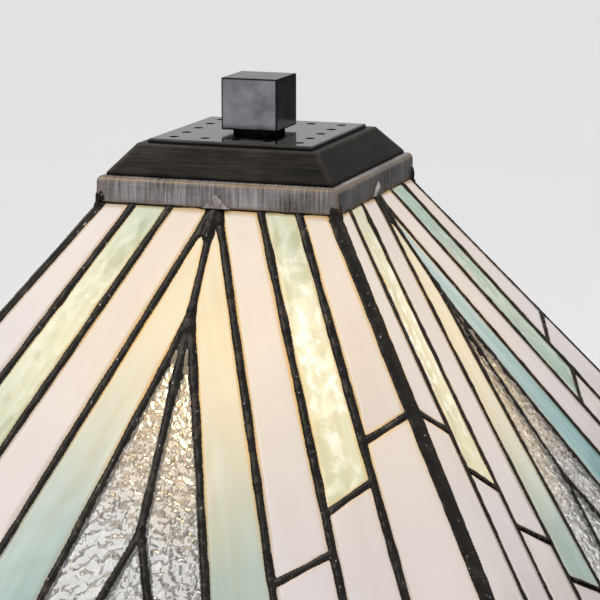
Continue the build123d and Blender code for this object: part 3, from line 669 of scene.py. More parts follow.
@dataclass(frozen=True)
class Metal:
    """Plain metal or paint over metal, cloudy and finely grained."""

    name: str
    dark: Rgb
    light: Rgb
    roughness: tuple[float, float] = (0.3, 0.45)
    metallic: float = 1.0
    grain: float = 0.05 * MM
    grain_scale: float = 900.0
    stain_scale: float = 40.0
    coat: float = 0.0
    glancing: float = 1.0  # how bright it is seen edge on

    def make(self) -> bpy.types.Material:
        """Builds the material."""
        g = Graph(self.name)
        stain = g.noise(g.place(), self.stain_scale, 4.0, 0.6)
        g.colour(g.ramp(stain, ((0.33, self.dark), (0.67, self.light))))
        g.set(Metallic=self.metallic, Coat_Weight=self.coat, Coat_Roughness=0.12,
              Specular_Tint=(self.glancing, self.glancing, self.glancing, 1))
        g.rough(g.span(g.noise(g.place(), self.grain_scale * 0.4, 3.0), 0.3, 0.7, *self.roughness))
        g.bump(g.noise(g.place(), self.grain_scale, 3.0, 0.6), self.grain, 0.6)
        return g.material


@dataclass(frozen=True)
class BlackNickelBlock:
    """A polished, black nickel plated block, with a painted dark line beside its arrises that stands in for
    the dark they reflect.
    """

    low: tuple[float, float, float]
    high: tuple[float, float, float]
    # Width of the painted dark line inside each arris.
    line: float = 0.8 * MM
    name: str = "black_nickel"

    def make(self) -> bpy.types.Material:
        """Builds the material."""
        g = Graph(self.name)
        split = g.add("ShaderNodeSeparateXYZ")
        g.join(g.place(), split.inputs["Vector"])
        inset = []
        for axis, low, high in zip("XYZ", self.low, self.high):
            centred = g.math("SUBTRACT", split.outputs[axis], (low + high) / 2)
            away = g.add("ShaderNodeMath", operation="ABSOLUTE")
            g.join(centred, away.inputs[0])
            inset.append(g.math("SUBTRACT", away.outputs["Value"], (high - low) / 2))
        a, b, c = inset
        second = g.math("MAXIMUM", g.math("MINIMUM", a, b), g.math("MINIMUM", g.math("MAXIMUM", a, b), c))
        # Painted reflection: a near-black line just inside each arris.
        edge = g.span(second, -self.line, -0.6 * self.line)
        stain = g.noise(g.place(), 130.0, 4.0, 0.6)
        plate = g.ramp(stain, ((0.36, (0.16, 0.16, 0.175)), (0.64, (0.27, 0.265, 0.285))))
        g.colour(g.mix(edge, plate, (0.016, 0.016, 0.020)))
        g.set(Metallic=1.0, Specular_Tint=(0.5, 0.5, 0.5, 1))
        g.rough(g.span(g.noise(g.place(), 600.0, 3.0), 0.3, 0.7, 0.10, 0.18))
        g.bump(g.noise(g.place(), 1500.0, 3.0, 0.6), 0.01 * MM, 0.5)
        return g.material


@dataclass(frozen=True)
class OpalBulb:
    """The opal glass of a lit bulb."""

    name: str = "opal_bulb_glass"

    def make(self) -> bpy.types.Material:
        """Builds the material."""
        g = Graph(self.name)
        tint = g.ramp(g.noise(g.place(), 30.0), ((0.3, (0.96, 0.76, 0.48)), (0.7, (1.0, 0.82, 0.56))))
        g.colour(tint)
        g.join(tint, g.shader.inputs["Emission Color"])
        g.set(Emission_Strength=7.0, IOR=1.5)
        g.rough(g.span(g.noise(g.place(), 500.0), 0.3, 0.7, 0.18, 0.28))
        return g.material


# ---------------------------------------------------------------- the shade's panels
@dataclass(frozen=True)
class Panel:
    """One panel of the shade, read from the frame: its place, and the outline of every piece."""

    side: Side
    top_z: float
    half: float  # half width of the glass face at the ring
    lean: float  # slope above the horizontal
    length: float
    pieces: tuple[tuple[GlassKind, np.ndarray], ...]

    @classmethod
    def read(cls, side: Side) -> "Panel":
        """Measures a panel on the frame's glass nodes.

        Args:
            side: Which panel.

        Returns:
            The panel.
        """
        skin = 0.1 * MM  # how near the outer face a point counts as on it
        top_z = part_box("top_ring")[0].z
        low_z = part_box("bottom_rim")[1].z
        white = frame["nodes"][f"{side.word}_white_glass"].data
        normals = [p.normal * p.area for p in white.polygons
                   if p.normal.dot(side.out) > 0.5 and p.normal.z > 0.2]
        normal = sum(normals, Vector()).normalized()
        lean = math.atan2(normal.dot(side.out), normal.z)
        found: list[tuple[GlassKind, np.ndarray]] = []
        face = 0.0
        for kind in GlassKind:
            for points in loose_parts(f"{side.word}_{kind.value}_glass"):
                height = points @ np.array(normal)
                face = float(height.max())
                outer = points[height > face - skin]
                flat = [(round(float(p @ np.array(side.across)), 6),
                         round((top_z - float(p[2])) / math.sin(lean), 6)) for p in outer]
                found.append((kind, hull(flat)))
        half = (face - top_z * math.cos(lean)) / math.sin(lean)
        return cls(side, top_z, half, lean, (top_z - low_z) / math.sin(lean), tuple(found))

    def place(self, flat: np.ndarray, height: np.ndarray) -> np.ndarray:
        """Carries flat points into space.

        Args:
            flat: An (n, 2) array of points across and down the panel's outer face.
            height: How far each is raised off that face.

        Returns:
            An (n, 3) array of points.
        """
        out, across = np.array(self.side.out), np.array(self.side.across)
        up = np.array((0.0, 0.0, 1.0))
        normal = out * math.sin(self.lean) + up * math.cos(self.lean)
        level = self.half + flat[:, 1] * math.cos(self.lean)
        return (out * level[:, None] + across * flat[:, :1]
                + up * (self.top_z - flat[:, 1] * math.sin(self.lean))[:, None] + normal * height[:, None])

    def corner(self, down: np.ndarray) -> np.ndarray:
        """Half width of the panel at each distance down."""
        return self.half + down * math.cos(self.lean)


@dataclass
class PanelGlass:
    """The glass of one panel, cut as the frame says, with the relief of its sheet."""

    panel: Panel
    finishes: dict[GlassKind, bpy.types.Material]
    steps: dict[GlassKind, float] = field(default_factory=lambda: {
        GlassKind.WHITE: 3.0 * MM, GlassKind.GREEN: 1.8 * MM, GlassKind.AQUA: 2.5 * MM,
        GlassKind.CLEAR: 0.55 * MM})
    facet: float = 3.8 * MM  # size of a facet of the clear sheet

    def build(self) -> None:
        """Makes one piece for each kind of glass."""
        for kind in GlassKind:
            self.build_kind(kind)

    def build_kind(self, kind: GlassKind) -> None:
        """Makes all the pieces of one kind, as one object that stands for one node."""
        skins, faces, values = [], [], []
        count = 0
        outlines = [outline for found, outline in self.panel.pieces if found is kind]
        for number, outline in enumerate(outlines):
            flat, quads = self.rows(outline, self.steps[kind])
            seed = 50 * self.panel.side.value + number
            inside = -outside_distance(flat, outline)
            front = self.relief(kind, flat, seed, inside)
            back = self.relief(kind, flat + 7 * self.facet, seed + 25, inside)
            points, skin = closed_slab(self.panel.place(flat, front),
                                       self.panel.place(flat, -GLASS_THICKNESS - back), quads)
            faces += [tuple(count + i for i in face) for face in skin]
            skins.append(points)
            blue = self.blueness(kind, float(outline[:, 0].mean()), float(outline[:, 1].min()), seed)
            tone = np.full(len(points), blue)
            across, down = self.grain(flat, outline), flat[:, 1]
            values.append((np.tile(across, 2), np.tile(down, 2), tone, np.tile(inside, 2)))
            count += len(points)
        name = f"{self.panel.side.word}_{kind.value}"
        piece = new_piece(f"{name}_sheet", np.vstack(skins), faces, True, {
            key: np.concatenate([value[index] for value in values])
            for index, key in enumerate(("across", "down", "tone", "edge"))})
        clean(piece)
        piece.data.materials.append(self.finishes[kind])
        settle(piece, "shade", f"{kind.value}_glass", f"{name}_glass")

    @staticmethod
    def grain(flat: np.ndarray, outline: np.ndarray) -> np.ndarray:
        """How far points lie across the sheet's streaks, which run along the piece's longest edge."""
        edges = np.roll(outline, -1, axis=0) - outline
        longest = edges[np.argmax(np.linalg.norm(edges, axis=1))]
        along = longest / np.linalg.norm(longest)
        return flat @ np.array([-along[1], along[0]]) * math.copysign(1, along[1])

    def blueness(self, kind: GlassKind, across: float, down: float, seed: int) -> float:
        """How near the blue-green end of its sheet a piece was cut.

        The strips that start at the ring are given in CHOSEN_TONES; the small pieces come as they fall.

        Args:
            kind: The sheet.
            across: The piece's middle, across the panel.
            down: The piece's top, down the panel.
            seed: Picks the fall.

        Returns:
            0 at the yellow end and 1 at the blue-green end.
        """
        chosen = CHOSEN_TONES.get((self.panel.side, kind), ())
        if chosen and down < 0.3 * self.panel.length:
            return chosen[int(across > 0)]
        return float(hashed(np.array([round(across / MM)]), np.array([round(down / MM)]), seed)[0])

    def relief(self, kind: GlassKind, flat: np.ndarray, seed: int, inside: np.ndarray) -> np.ndarray:
        """The height of a sheet's surface, fading out beside the lead.

        Args:
            kind: The sheet.
            flat: The (across, down) points.
            seed: Picks a pattern.
            inside: How far each point is from the piece's edge.

        Returns:
            Heights in metres.
        """
        if kind is GlassKind.WHITE:
            height = 0.10 * MM * layered_noise(flat / (26 * MM), seed, 2)
        elif kind is GlassKind.AQUA:
            height = 0.14 * MM * layered_noise(flat / (17 * MM), seed, 2)
        elif kind is GlassKind.GREEN:
            height = 0.36 * MM * layered_noise(flat / (8 * MM), seed, 2) + 0.10 * MM * smooth_noise(
                flat / (3.4 * MM), seed + 5)
        else:
            shake = [smooth_noise(flat / (2.0 * MM), seed + k) for k in (3, 4)]
            inner, tilt = facets(flat / self.facet + 0.35 * np.stack(shake, axis=1), seed)
            height = 0.22 * MM * (inner - 0.7) + 0.34 * self.facet * tilt * inner
        return height * np.clip(inside / (1.2 * MM), 0, 1)

    @staticmethod
    def rows(outline: np.ndarray, step: float) -> tuple[np.ndarray, list[tuple[int, ...]]]:
        """Covers a convex outline with rows of four-sided faces.

        Args:
            outline: The outline's corners.
            step: The size of a face.

        Returns:
            The (across, down) points, and the faces, anticlockwise from outside the shade.
        """
        corners = sorted(set(outline[:, 1]))
        levels = [corners[0]]
        for a, b in zip(corners, corners[1:]):
            count = max(1, math.ceil((b - a) / step))
            levels += [a + (b - a) * (k + 1) / count for k in range(count)]
        spans = []
        for level in levels:
            crossings = []
            for a, b in zip(outline, np.roll(outline, -1, axis=0)):
                low, high = sorted((a[1], b[1]))
                if low - 1e-7 <= level <= high + 1e-7:
                    share = 0.0 if high - low < 1e-7 else min(1.0, max(0.0, (level - a[1]) / (b[1] - a[1])))
                    crossings += [a[0] + share * (b[0] - a[0])]
                    if high - low < 1e-7:
                        crossings.append(b[0])
            spans.append((min(crossings), max(crossings)))
        columns = max(2, math.ceil(max(right - left for left, right in spans) / step))
        points = [(left + (right - left) * k / columns, level)
                  for level, (left, right) in zip(levels, spans) for k in range(columns + 1)]
        wide = columns + 1
        quads = [(i * wide + k, (i + 1) * wide + k, (i + 1) * wide + k + 1, i * wide + k + 1)
                 for i in range(len(levels) - 1) for k in range(columns)]
        return np.array(points), quads


@dataclass
class SolderNet:
    """The solder between the pieces of one panel: a lumpy bead that swells where lines meet."""

    panel: Panel
    finish: bpy.types.Material
    step: float = 0.72 * MM
    lap: float = 0.56 * MM  # solder over the edge of the glass, on average
    lap_change: float = 0.22 * MM
    crown: float = 0.40  # bead's height for each unit of half width
    inside_crown: float = 0.30
    corner_flat: float = 1.9 * MM  # how far in from the sharp corner the solder is filed off
    # Across, down, reach and extra lap of each heavy joint.
    blobs: tuple[tuple[float, float, float, float], ...] = (
        (0.0, 3.0 * MM, 5.0 * MM, 2.6 * MM), (-1.0 * MM, 11.0 * MM, 4.2 * MM, 1.5 * MM),
        (0.0, 44.0 * MM, 4.5 * MM, 0.9 * MM), (0.0, 51.0 * MM, 4.0 * MM, 0.8 * MM),
        (0.4 * MM, 72.0 * MM, 9.0 * MM, 0.45 * MM), (0.0, 133.0 * MM, 5.0 * MM, 0.6 * MM))
    sunk: float = 0.22 * MM  # how far the bead's foot goes into the glass

    def build(self) -> None:
        """Makes the net as one closed piece that stands for the panel's lead."""
        across = np.arange(-self.panel.corner(np.array([self.panel.length]))[0], 0.5, self.step)
        across = across[across <= -across[0]]
        down = np.linspace(0, self.panel.length, round(self.panel.length / self.step))
        grid = np.stack(np.meshgrid(across, down), axis=-1).reshape(-1, 2)
        nearest = np.full(len(grid), 1.0)
        second = np.full(len(grid), 1.0)
        walls = [outside_distance(grid, outline) for _, outline in self.panel.pieces]
        edge = (self.panel.corner(grid[:, 1]) - np.abs(grid[:, 0])) / math.hypot(1, math.cos(self.panel.lean))
        walls += [grid[:, 1] + 0.8 * MM, self.panel.length - grid[:, 1] + 0.8 * MM, edge + 1.5 * MM]
        for wall in walls:
            second = np.minimum(second, np.maximum(nearest, wall))
            nearest = np.minimum(nearest, wall)
        seed = 300 + self.panel.side.value
        lap = self.lap + self.lap_change * layered_noise(grid / (11 * MM), seed, 2)
        for across_at, down_at, reach, extra in self.blobs:
            away = np.hypot(grid[:, 0] - across_at, grid[:, 1] - down_at) / reach
            lap += extra * np.exp(-away**2 * 2) * (1 + 0.3 * smooth_noise(grid / (2.5 * MM), seed + 80))
        near, far = nearest + lap, second + lap
        swell = (1 + 0.26 * layered_noise(grid / (6 * MM), seed + 40, 2)
                 + 0.20 * smooth_noise(grid / (1.9 * MM), seed + 60))
        bead = np.sqrt(np.clip(near, 0, 4 * MM) * np.clip(far, 0, 4 * MM)) * swell
        sunk = np.where(near > 0, 0.0, near)
        filed = (edge - self.corner_flat) * math.tan(math.acos(math.cos(self.panel.lean) ** 2) / 2)
        front = np.minimum(self.crown * bead - self.sunk + sunk, filed)
        back = self.inside_crown * bead - self.sunk + sunk
        kept = (near > -1.1 * self.step) & (edge > 0.9 * MM)
        wide, tall = len(across), len(down)
        mask = kept.reshape(tall, wide)
        cells = mask[:-1, :-1] & mask[1:, :-1] & mask[:-1, 1:] & mask[1:, 1:]
        rows, columns = np.nonzero(cells)
        first = rows * wide + columns
        quads = np.stack([first, first + wide, first + wide + 1, first + 1], axis=1)
        used, flat_index = np.unique(quads, return_inverse=True)
        quads = flat_index.reshape(-1, 4)
        flat = grid[used]
        points, faces = closed_slab(self.panel.place(flat, front[used]),
                                    self.panel.place(flat, -GLASS_THICKNESS - back[used]),
                                    [tuple(q) for q in quads.tolist()])
        piece = new_piece(f"{self.panel.side.word}_solder_net", points, faces)
        piece.data.materials.append(self.finish)
        settle(piece, "shade", "solder", f"{self.panel.side.word}_lead")


@dataclass
class CornerSolder:
    """The flat, wide solder beads down the four corners of the shade, as one piece."""

    panel: Panel
    finish: bpy.types.Material
    half_width: float = 2.15 * MM
    sunk: float = 1.55 * MM  # how far the bead's widest part lies in from the sharp corner
    crown: float = 0.75 * MM
    depth: float = 3.3 * MM  # from the bead's widest part to the inside of the shade
    step: float = 0.9 * MM
    around: int = 18

    def build(self) -> None:
        """Makes the beads."""
        points, faces = [], []
        for quarter in range(4):
            corner_points, corner_faces = self.bead(quarter)
            faces += [tuple(len(points) * len(corner_points) + i for i in f) for f in corner_faces]
            points.append(corner_points)
        piece = new_piece("corner_solder", np.vstack(points), faces)
        piece.data.materials.append(self.finish)
        settle(piece, "shade", "solder", "corner_cames")

    def bead(self, quarter: int) -> tuple[np.ndarray, list[tuple[int, ...]]]:
        """One bead: rings of points along the corner, closed at both ends.

        Args:
            quarter: Quarter turns about +Z from the back right corner.

        Returns:
            The bead's points and faces.
        """
        angle = math.radians(90 * quarter + 45)
        out = np.array((math.cos(angle), math.sin(angle), 0.0))
        side = np.array((-math.sin(angle), math.cos(angle), 0.0))
        root2 = math.sqrt(2)
        top = np.array((0, 0, self.panel.top_z)) + out * self.panel.half * root2
        run = self.panel.length * math.cos(self.panel.lean) * root2
        foot = top + out * run - np.array((0, 0, self.panel.length * math.sin(self.panel.lean)))
        length = float(np.linalg.norm(foot - top))
        along = (foot - top) / length
        normal = np.cross(side, along)
        normal *= math.copysign(1, normal @ out)
        count = round(length / self.step)
        turn = np.linspace(0, 2 * math.pi, self.around, endpoint=False)
        travel = np.linspace(0, length, count)
        t, a = np.meshgrid(travel, turn, indexing="ij")
        flat = np.stack([t.ravel() / (9 * MM), a.ravel() * 1.1 + 9 * quarter], axis=1)
        lump = 1 + 0.08 * layered_noise(flat, 500 + quarter) + 0.06 * smooth_noise(
            np.stack([t.ravel() / (2.6 * MM), a.ravel() * 0.7], axis=1), 540 + quarter)
        wide = self.half_width * np.sin(a.ravel()) * lump
        high = np.where(np.cos(a.ravel()) > 0, self.crown, self.depth) * np.cos(a.ravel()) * lump - self.sunk
        points = top + along * t.ravel()[:, None] + side * wide[:, None] + normal * high[:, None]
        points[:, 2] = np.clip(points[:, 2], foot[2], top[2])
        n = self.around
        faces = [(i * n + k, i * n + (k + 1) % n, (i + 1) * n + (k + 1) % n, (i + 1) * n + k)
                 for i in range(count - 1) for k in range(n)]
        faces += [tuple(reversed(range(n))), tuple((count - 1) * n + k for k in range(n))]
        return points, faces


@dataclass
class SquareSweep:
    """A profile carried round a square: the way bands, caps and rims are made here."""

    name: str
    profile: list[tuple[float, float]]  # (half width, height), right of the axis, anticlockwise
    corner: float  # radius of the upright corners
    finish: bpy.types.Material
    step: float = 1.3 * MM
    dent: float = 0.10 * MM
    worn_reach: float = 0.9 * MM
    hard: tuple[int, ...] = ()  # profile points that are arrises
    brushed_down: tuple[float, float] = (0.0, 0.0)  # on front and back, and on the sides, 0 or 1

    def build(self) -> bpy.types.Object:
        """Makes the piece."""
        levels, travel, worn_level = self.levels()
        half = max(level[0] for level in levels)
        ring, facing = self.ring(half)
        sideways = np.abs(facing[:, 0]) > np.abs(facing[:, 1])
        n = len(ring)
        points, across, down, worn, lengthwise = [], [], [], [], []
        for (level_half, z), distance, wear in zip(levels, travel, worn_level):
            shrink = half - level_half
            corner = max(self.corner - shrink, 0.25 * self.corner)
            loop, _ = self.ring(level_half, corner, half)
            points.append(np.column_stack([loop, np.full(n, z)]))
            across.append(np.where(sideways, loop[:, 1], loop[:, 0]))
            down.append(np.full(n, distance))
            arris = 1 - np.clip((level_half - np.minimum(np.abs(loop[:, 0]), np.abs(loop[:, 1])))
                                / (2 * self.worn_reach), 0, 1)
            worn.append(np.maximum(wear, arris))
            lengthwise.append(np.where(sideways, *reversed(self.brushed_down)))
        place = np.vstack(points)
        seed = sum(map(ord, self.name))
        round_axis = np.arctan2(place[:, 1], place[:, 0]) * half
        flat = np.column_stack([round_axis / (9 * MM), place[:, 2] / (6 * MM)])
        push = self.dent * layered_noise(flat, seed, 3)
        level_out = place[:, :2] / np.maximum(np.linalg.norm(place[:, :2], axis=1), 1e-9)[:, None]
        place[:, :2] += level_out * push[:, None]
        faces = [(i * n + k, i * n + (k + 1) % n, j * n + (k + 1) % n, j * n + k)
                 for i in range(len(levels)) for j in [(i + 1) % len(levels)] for k in range(n)]
        piece = new_piece(self.name, place, faces, True, {
            "across": np.concatenate(across), "down": np.concatenate(down), "tone": np.zeros(len(place)),
            "worn": np.concatenate(worn), "lengthwise": np.concatenate(lengthwise)})
        clean(piece)
        piece.data.materials.append(self.finish)
        return piece

    def levels(self) -> tuple[list[tuple[float, float]], list[float], list[float]]:
        """The profile cut into short steps, how far along it each is, and how worn."""
        levels, travel, worn = [], [], []
        total = 0.0
        for i, (a, b) in enumerate(zip(self.profile, self.profile[1:] + self.profile[:1])):
            size = math.dist(a, b)
            count = max(1, math.ceil(size / self.step))
            for k in range(count):
                share = k / count
                levels.append((a[0] + (b[0] - a[0]) * share, a[1] + (b[1] - a[1]) * share))
                travel.append(total + size * share)
                near = [size * share] if i in self.hard else []
                near += [size * (1 - share)] if (i + 1) % len(self.profile) in self.hard else []
                worn.append(max([0.0] + [1 - min(1.0, d / self.worn_reach) for d in near]))
            total += size
        return levels, travel, worn

    def ring(self, half: float, corner: float | None = None, full: float | None = None) -> tuple[
            np.ndarray, np.ndarray]:
        """Points round a rounded square, anticlockwise from above, with the way each faces.

        Args:
            half: Half width of the square.
            corner: Radius of its corners; the piece's own if not given.
            full: Half width that sets the number of points, so that every level has as many.

        Returns:
            The points, and the directions, as (n, 2) arrays.
        """
        corner = self.corner if corner is None else min(corner, half)
        straight = np.linspace(-1, 1, 2 * math.ceil((full or half) / self.step / 2) + 1)[:-1]
        bend = np.linspace(0, math.pi / 2, 6)[:-1]
        loop, facing = [], []
        for quarter in range(4):
            angle = math.radians(90 * quarter)
            out = np.array((math.cos(angle), math.sin(angle)))
            side = np.array((-math.sin(angle), math.cos(angle)))
            for s in straight:
                loop.append(out * half + side * s * (half - corner))
                facing.append(out)
            for b in bend:
                way = out * math.cos(b) + side * math.sin(b)
                loop.append((out + side) * (half - corner) + way * corner)
                facing.append(way)
        return np.array(loop), np.array(facing)


def arc(centre: tuple[float, float], radius: float, start: float, end: float, count: int = 5) -> list[
        tuple[float, float]]:
    """Points of an arc.

    Args:
        centre: Its centre.
        radius: Its radius.
        start: The angle it starts at, in degrees.
        end: The angle it ends at.
        count: How many steps it has.

    Returns:
        The points, both ends among them.
    """
    return [(centre[0] + radius * math.cos(math.radians(start + (end - start) * k / count)),
             centre[1] + radius * math.sin(math.radians(start + (end - start) * k / count)))
            for k in range(count + 1)]


# ---------------------------------------------------------------- top of the shade
@dataclass
class ShadeTop:
    """The soldered band at the top of the shade, and the vent cap on it."""

    band_finish: bpy.types.Material
    cap_finish: bpy.types.Material
    solder: bpy.types.Material
    scraped: bpy.types.Material
    band_wall: float = 2.0 * MM
    band_lip: float = 10.0 * MM
    lip_thickness: float = 1.5 * MM
    band_round: float = 2.4 * MM
    skirt: float = 0.9 * MM
    sheet: float = 1.2 * MM
    ledge: float = 3.2 * MM  # from the vent plate's edge to the cap's fold
    opening_half: float = 29.0 * MM
    fold: float = 0.5 * MM  # radius of the cap's folded edge

    def build(self) -> None:
        """Makes the band, the cap and the solder on the band."""
        self.build_band()
        self.build_cap()
        self.build_lumps()
        self.build_fillets()

    def build_band(self) -> None:
        """The square band, rounded along its top edge, with its flange turned in."""
        low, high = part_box("top_ring")
        half, inner = high.x, high.x - self.band_wall
        round_middle = (half - self.band_round, high.z - self.band_round)
        lip = half - self.band_lip
        profile = [(half, low.z)] + arc(round_middle, self.band_round, 0, 90) + [
            (lip, high.z), (lip, high.z - self.lip_thickness), (inner, high.z - self.lip_thickness),
            (inner, low.z)]
        piece = SquareSweep("top_band", profile, 1.6 * MM, self.band_finish, step=0.9 * MM, dent=0.12 * MM,
                            hard=(0, 3, 4), worn_reach=1.4 * MM, brushed_down=(1.0, 1.0)).build()
        settle(piece, "shade", "ring", "top_ring")

    def build_cap(self) -> None:
        """The hollow square cap, tapering up to the ledge under the vent plate."""
        low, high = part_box("vent_cap")
        half = high.x
        top_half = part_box("vent_plate")[1].x + self.ledge
        lean = math.degrees(math.atan2(high.z - low.z - self.skirt, half - top_half))
        wall = self.sheet / math.sin(math.radians(lean))
        turned = arc((top_half - self.fold * math.tan(math.radians(lean / 2)), high.z - self.fold), self.fold,
                     90 - lean, 90, 3)
        profile = [(half, low.z), (half, low.z + self.skirt)] + turned + [
            (self.opening_half, high.z), (self.opening_half, high.z - self.sheet),
            (top_half - wall, high.z - self.sheet), (half - wall, low.z + self.skirt), (half - wall, low.z)]
        piece = SquareSweep("vent_cap_shell", profile, 0.8 * MM, self.cap_finish, dent=0.05 * MM,
                            hard=(2, 3, 4, 5), worn_reach=0.45 * MM, brushed_down=(0.0, 1.0)).build()
        settle(piece, "shade", "cap", "vent_cap")

    def build_fillets(self) -> None:
        """Flat three-cornered lumps of scraped solder at the foot of the band, one mid side."""
        low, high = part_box("top_ring")
        wide, tall, proud, sunk = 6.2 * MM, 5.6 * MM, 1.15 * MM, 0.5 * MM
        columns, rows = 28, 14
        grid = np.meshgrid(np.linspace(-1, 1, columns), np.linspace(0, 1, rows))
        share = np.stack(grid, axis=-1).reshape(-1, 2)
        x = share[:, 0] * (1 - share[:, 1]) * wide
        z = share[:, 1] * tall
        inner = np.minimum(1 - np.abs(share[:, 0]), 1 - share[:, 1])
        quads = [(r * columns + c, r * columns + c + 1, (r + 1) * columns + c + 1, (r + 1) * columns + c)
                 for r in range(rows - 1) for c in range(columns - 1)]
        points, faces = [], []
        for side in Side:
            lump = proud * np.clip(inner * 2.2, 0, 1)**0.7 * (
                1 + 0.35 * layered_noise(share * (3.0, 1.6) + 3, 800 + side.value, 2))
            out, across = np.array(side.out), np.array(side.across)
            spread = across * (x + 0.5 * MM)[:, None] + np.array((0, 0, 1.0)) * (low.z + z)[:, None]
            skin_points, skin = closed_slab(spread + out * (high.x + lump)[:, None],
                                            spread + out * (high.x - sunk), quads)
            faces += [tuple(len(points) * len(skin_points) + i for i in face) for face in skin]
            points.append(skin_points)
        piece = new_piece("band_solder_fillets", np.vstack(points), faces)
        clean(piece)
        piece.data.materials.append(self.scraped)
        settle(piece, "shade", "solder")

    def build_lumps(self) -> None:
        """Lumps of solder where the band meets the corners and the middle of each panel."""
        low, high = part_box("top_ring")
        half = high.x
        up = Vector((0, 0, 1))
        work = bmesh.new()
        for side in Side:
            out, across = side.out, side.across
            middle = out * (half - 0.9 * MM) + Vector((0, 0, low.z - 0.8 * MM)) + across * (-1.0 * MM)
            self.lump(work, middle, across, out, (3.8 * MM, 1.9 * MM, 1.3 * MM), side.value)
            way = (out + across).normalized()
            corner = (out + across) * (half - 1.3 * MM) + Vector((0, 0, low.z + 0.9 * MM))
            self.lump(work, corner, way.cross(up), way, (2.6 * MM, 3.4 * MM, 1.7 * MM), 10 + side.value)
            foot = corner + way * 0.7 * MM - Vector((0, 0, 3.0 * MM))
            self.lump(work, foot, way.cross(up), way, (2.7 * MM, 3.4 * MM, 1.3 * MM), 20 + side.value)
        mesh = bpy.data.meshes.new("band_solder_lumps")
        work.to_mesh(mesh)
        work.free()
        for polygon in mesh.polygons:
            polygon.use_smooth = True
        piece = linked("band_solder_lumps", mesh)
        piece.data.materials.append(self.solder)
        settle(piece, "shade", "solder")

    @staticmethod
    def lump(work: bmesh.types.BMesh, middle: Vector, across: Vector, out: Vector,
             size: tuple[float, float, float], seed: int) -> None:
        """Adds one lump of solder.

        Args:
            work: The mesh under construction.
            middle: The lump's middle.
            across: The direction of its width.
            out: The direction that it stands proud in.
            size: Half its size across, up and out.
            seed: Picks its shape.
        """
        made = bmesh.ops.create_icosphere(work, subdivisions=4, radius=1.0)["verts"]
        turn = np.array([tuple(v.co) for v in made])
        flat = np.column_stack([np.arctan2(turn[:, 1], turn[:, 0]) * 1.2 + seed * 5, turn[:, 2] * 1.6])
        swell = 1 + 0.22 * layered_noise(flat, 700 + seed, 2)
        up = Vector((0, 0, 1))
        for v, s in zip(made, swell):
            x, y, z = v.co * float(s)
            v.co = middle + across * (x * size[0]) + up * (y * size[1]) + out * (z * size[2])


# ---------------------------------------------------------------- parts that keep the frame's shape
@dataclass
class SoftenedPart:
    """A frame node remade with its sharp edges rounded over, as castings and painted sheet are."""

    node: str
    body: str
    slot: str
    finish: bpy.types.Material
    width: float = 0.6 * MM
    segments: int = 2
    least_angle: float = 25.0

    def build(self) -> None:
        """Makes the piece, which stands for the node."""
        mesh = frame["nodes"][self.node].data.copy()
        mesh.name = f"{self.node}_soft"
        mesh.materials.clear()
        mesh.materials.append(self.finish)
        work = bmesh.new()
        work.from_mesh(mesh)
        bmesh.ops.remove_doubles(work, verts=work.verts, dist=0.002 * MM)
        bmesh.ops.dissolve_limit(work, angle_limit=math.radians(0.5), verts=work.verts, edges=work.edges)
        sharp = [e for e in work.edges if len(e.link_faces) == 2
                 and e.calc_face_angle(0.0) > math.radians(self.least_angle)]
        bmesh.ops.bevel(work, geom=sharp, offset=self.width, offset_type="OFFSET", segments=self.segments,
                        profile=0.5, affect="EDGES", clamp_overlap=True)
        bmesh.ops.triangulate(work, faces=[f for f in work.faces if len(f.verts) > 4])
        for face in work.faces:
            face.smooth = True
        for edge in work.edges:
            edge.smooth = edge.calc_face_angle(0.0) < math.radians(self.least_angle)
        work.to_mesh(mesh)
        work.free()
        settle(linked(f"{self.node}_soft", mesh), self.body, self.slot, self.node)


@dataclass
class Dressing:
    """The finishes of the parts whose shapes come straight from the frame."""

    finishes: dict[str, bpy.types.Material]
    special: dict[str, bpy.types.Material]  # finishes of single nodes, in place of their slot's
    softened: tuple[str, ...] = ("base_shell", "column_foot", "column", "capital", "bottom_rim")

    def build(self) -> None:
        """Gives each visible frame node the finish of its slot."""
        record = frame["record"]
        body_of = {n: body for body, nodes in record["behaviour"]["bodies"].items() for n in nodes}
        for part in record["subparts"]:
            node, slot = part["node"], part["material_slot"]
            piece = frame["nodes"][node]
            if piece.hide_render:
                continue
            if node in self.softened:
                SoftenedPart(node, body_of[node], slot, self.finishes[slot]).build()
                continue
            piece.data.materials.clear()
            piece.data.materials.append(self.special.get(node, self.finishes[slot]))
            log.info("%s: finish of %s", node, slot)


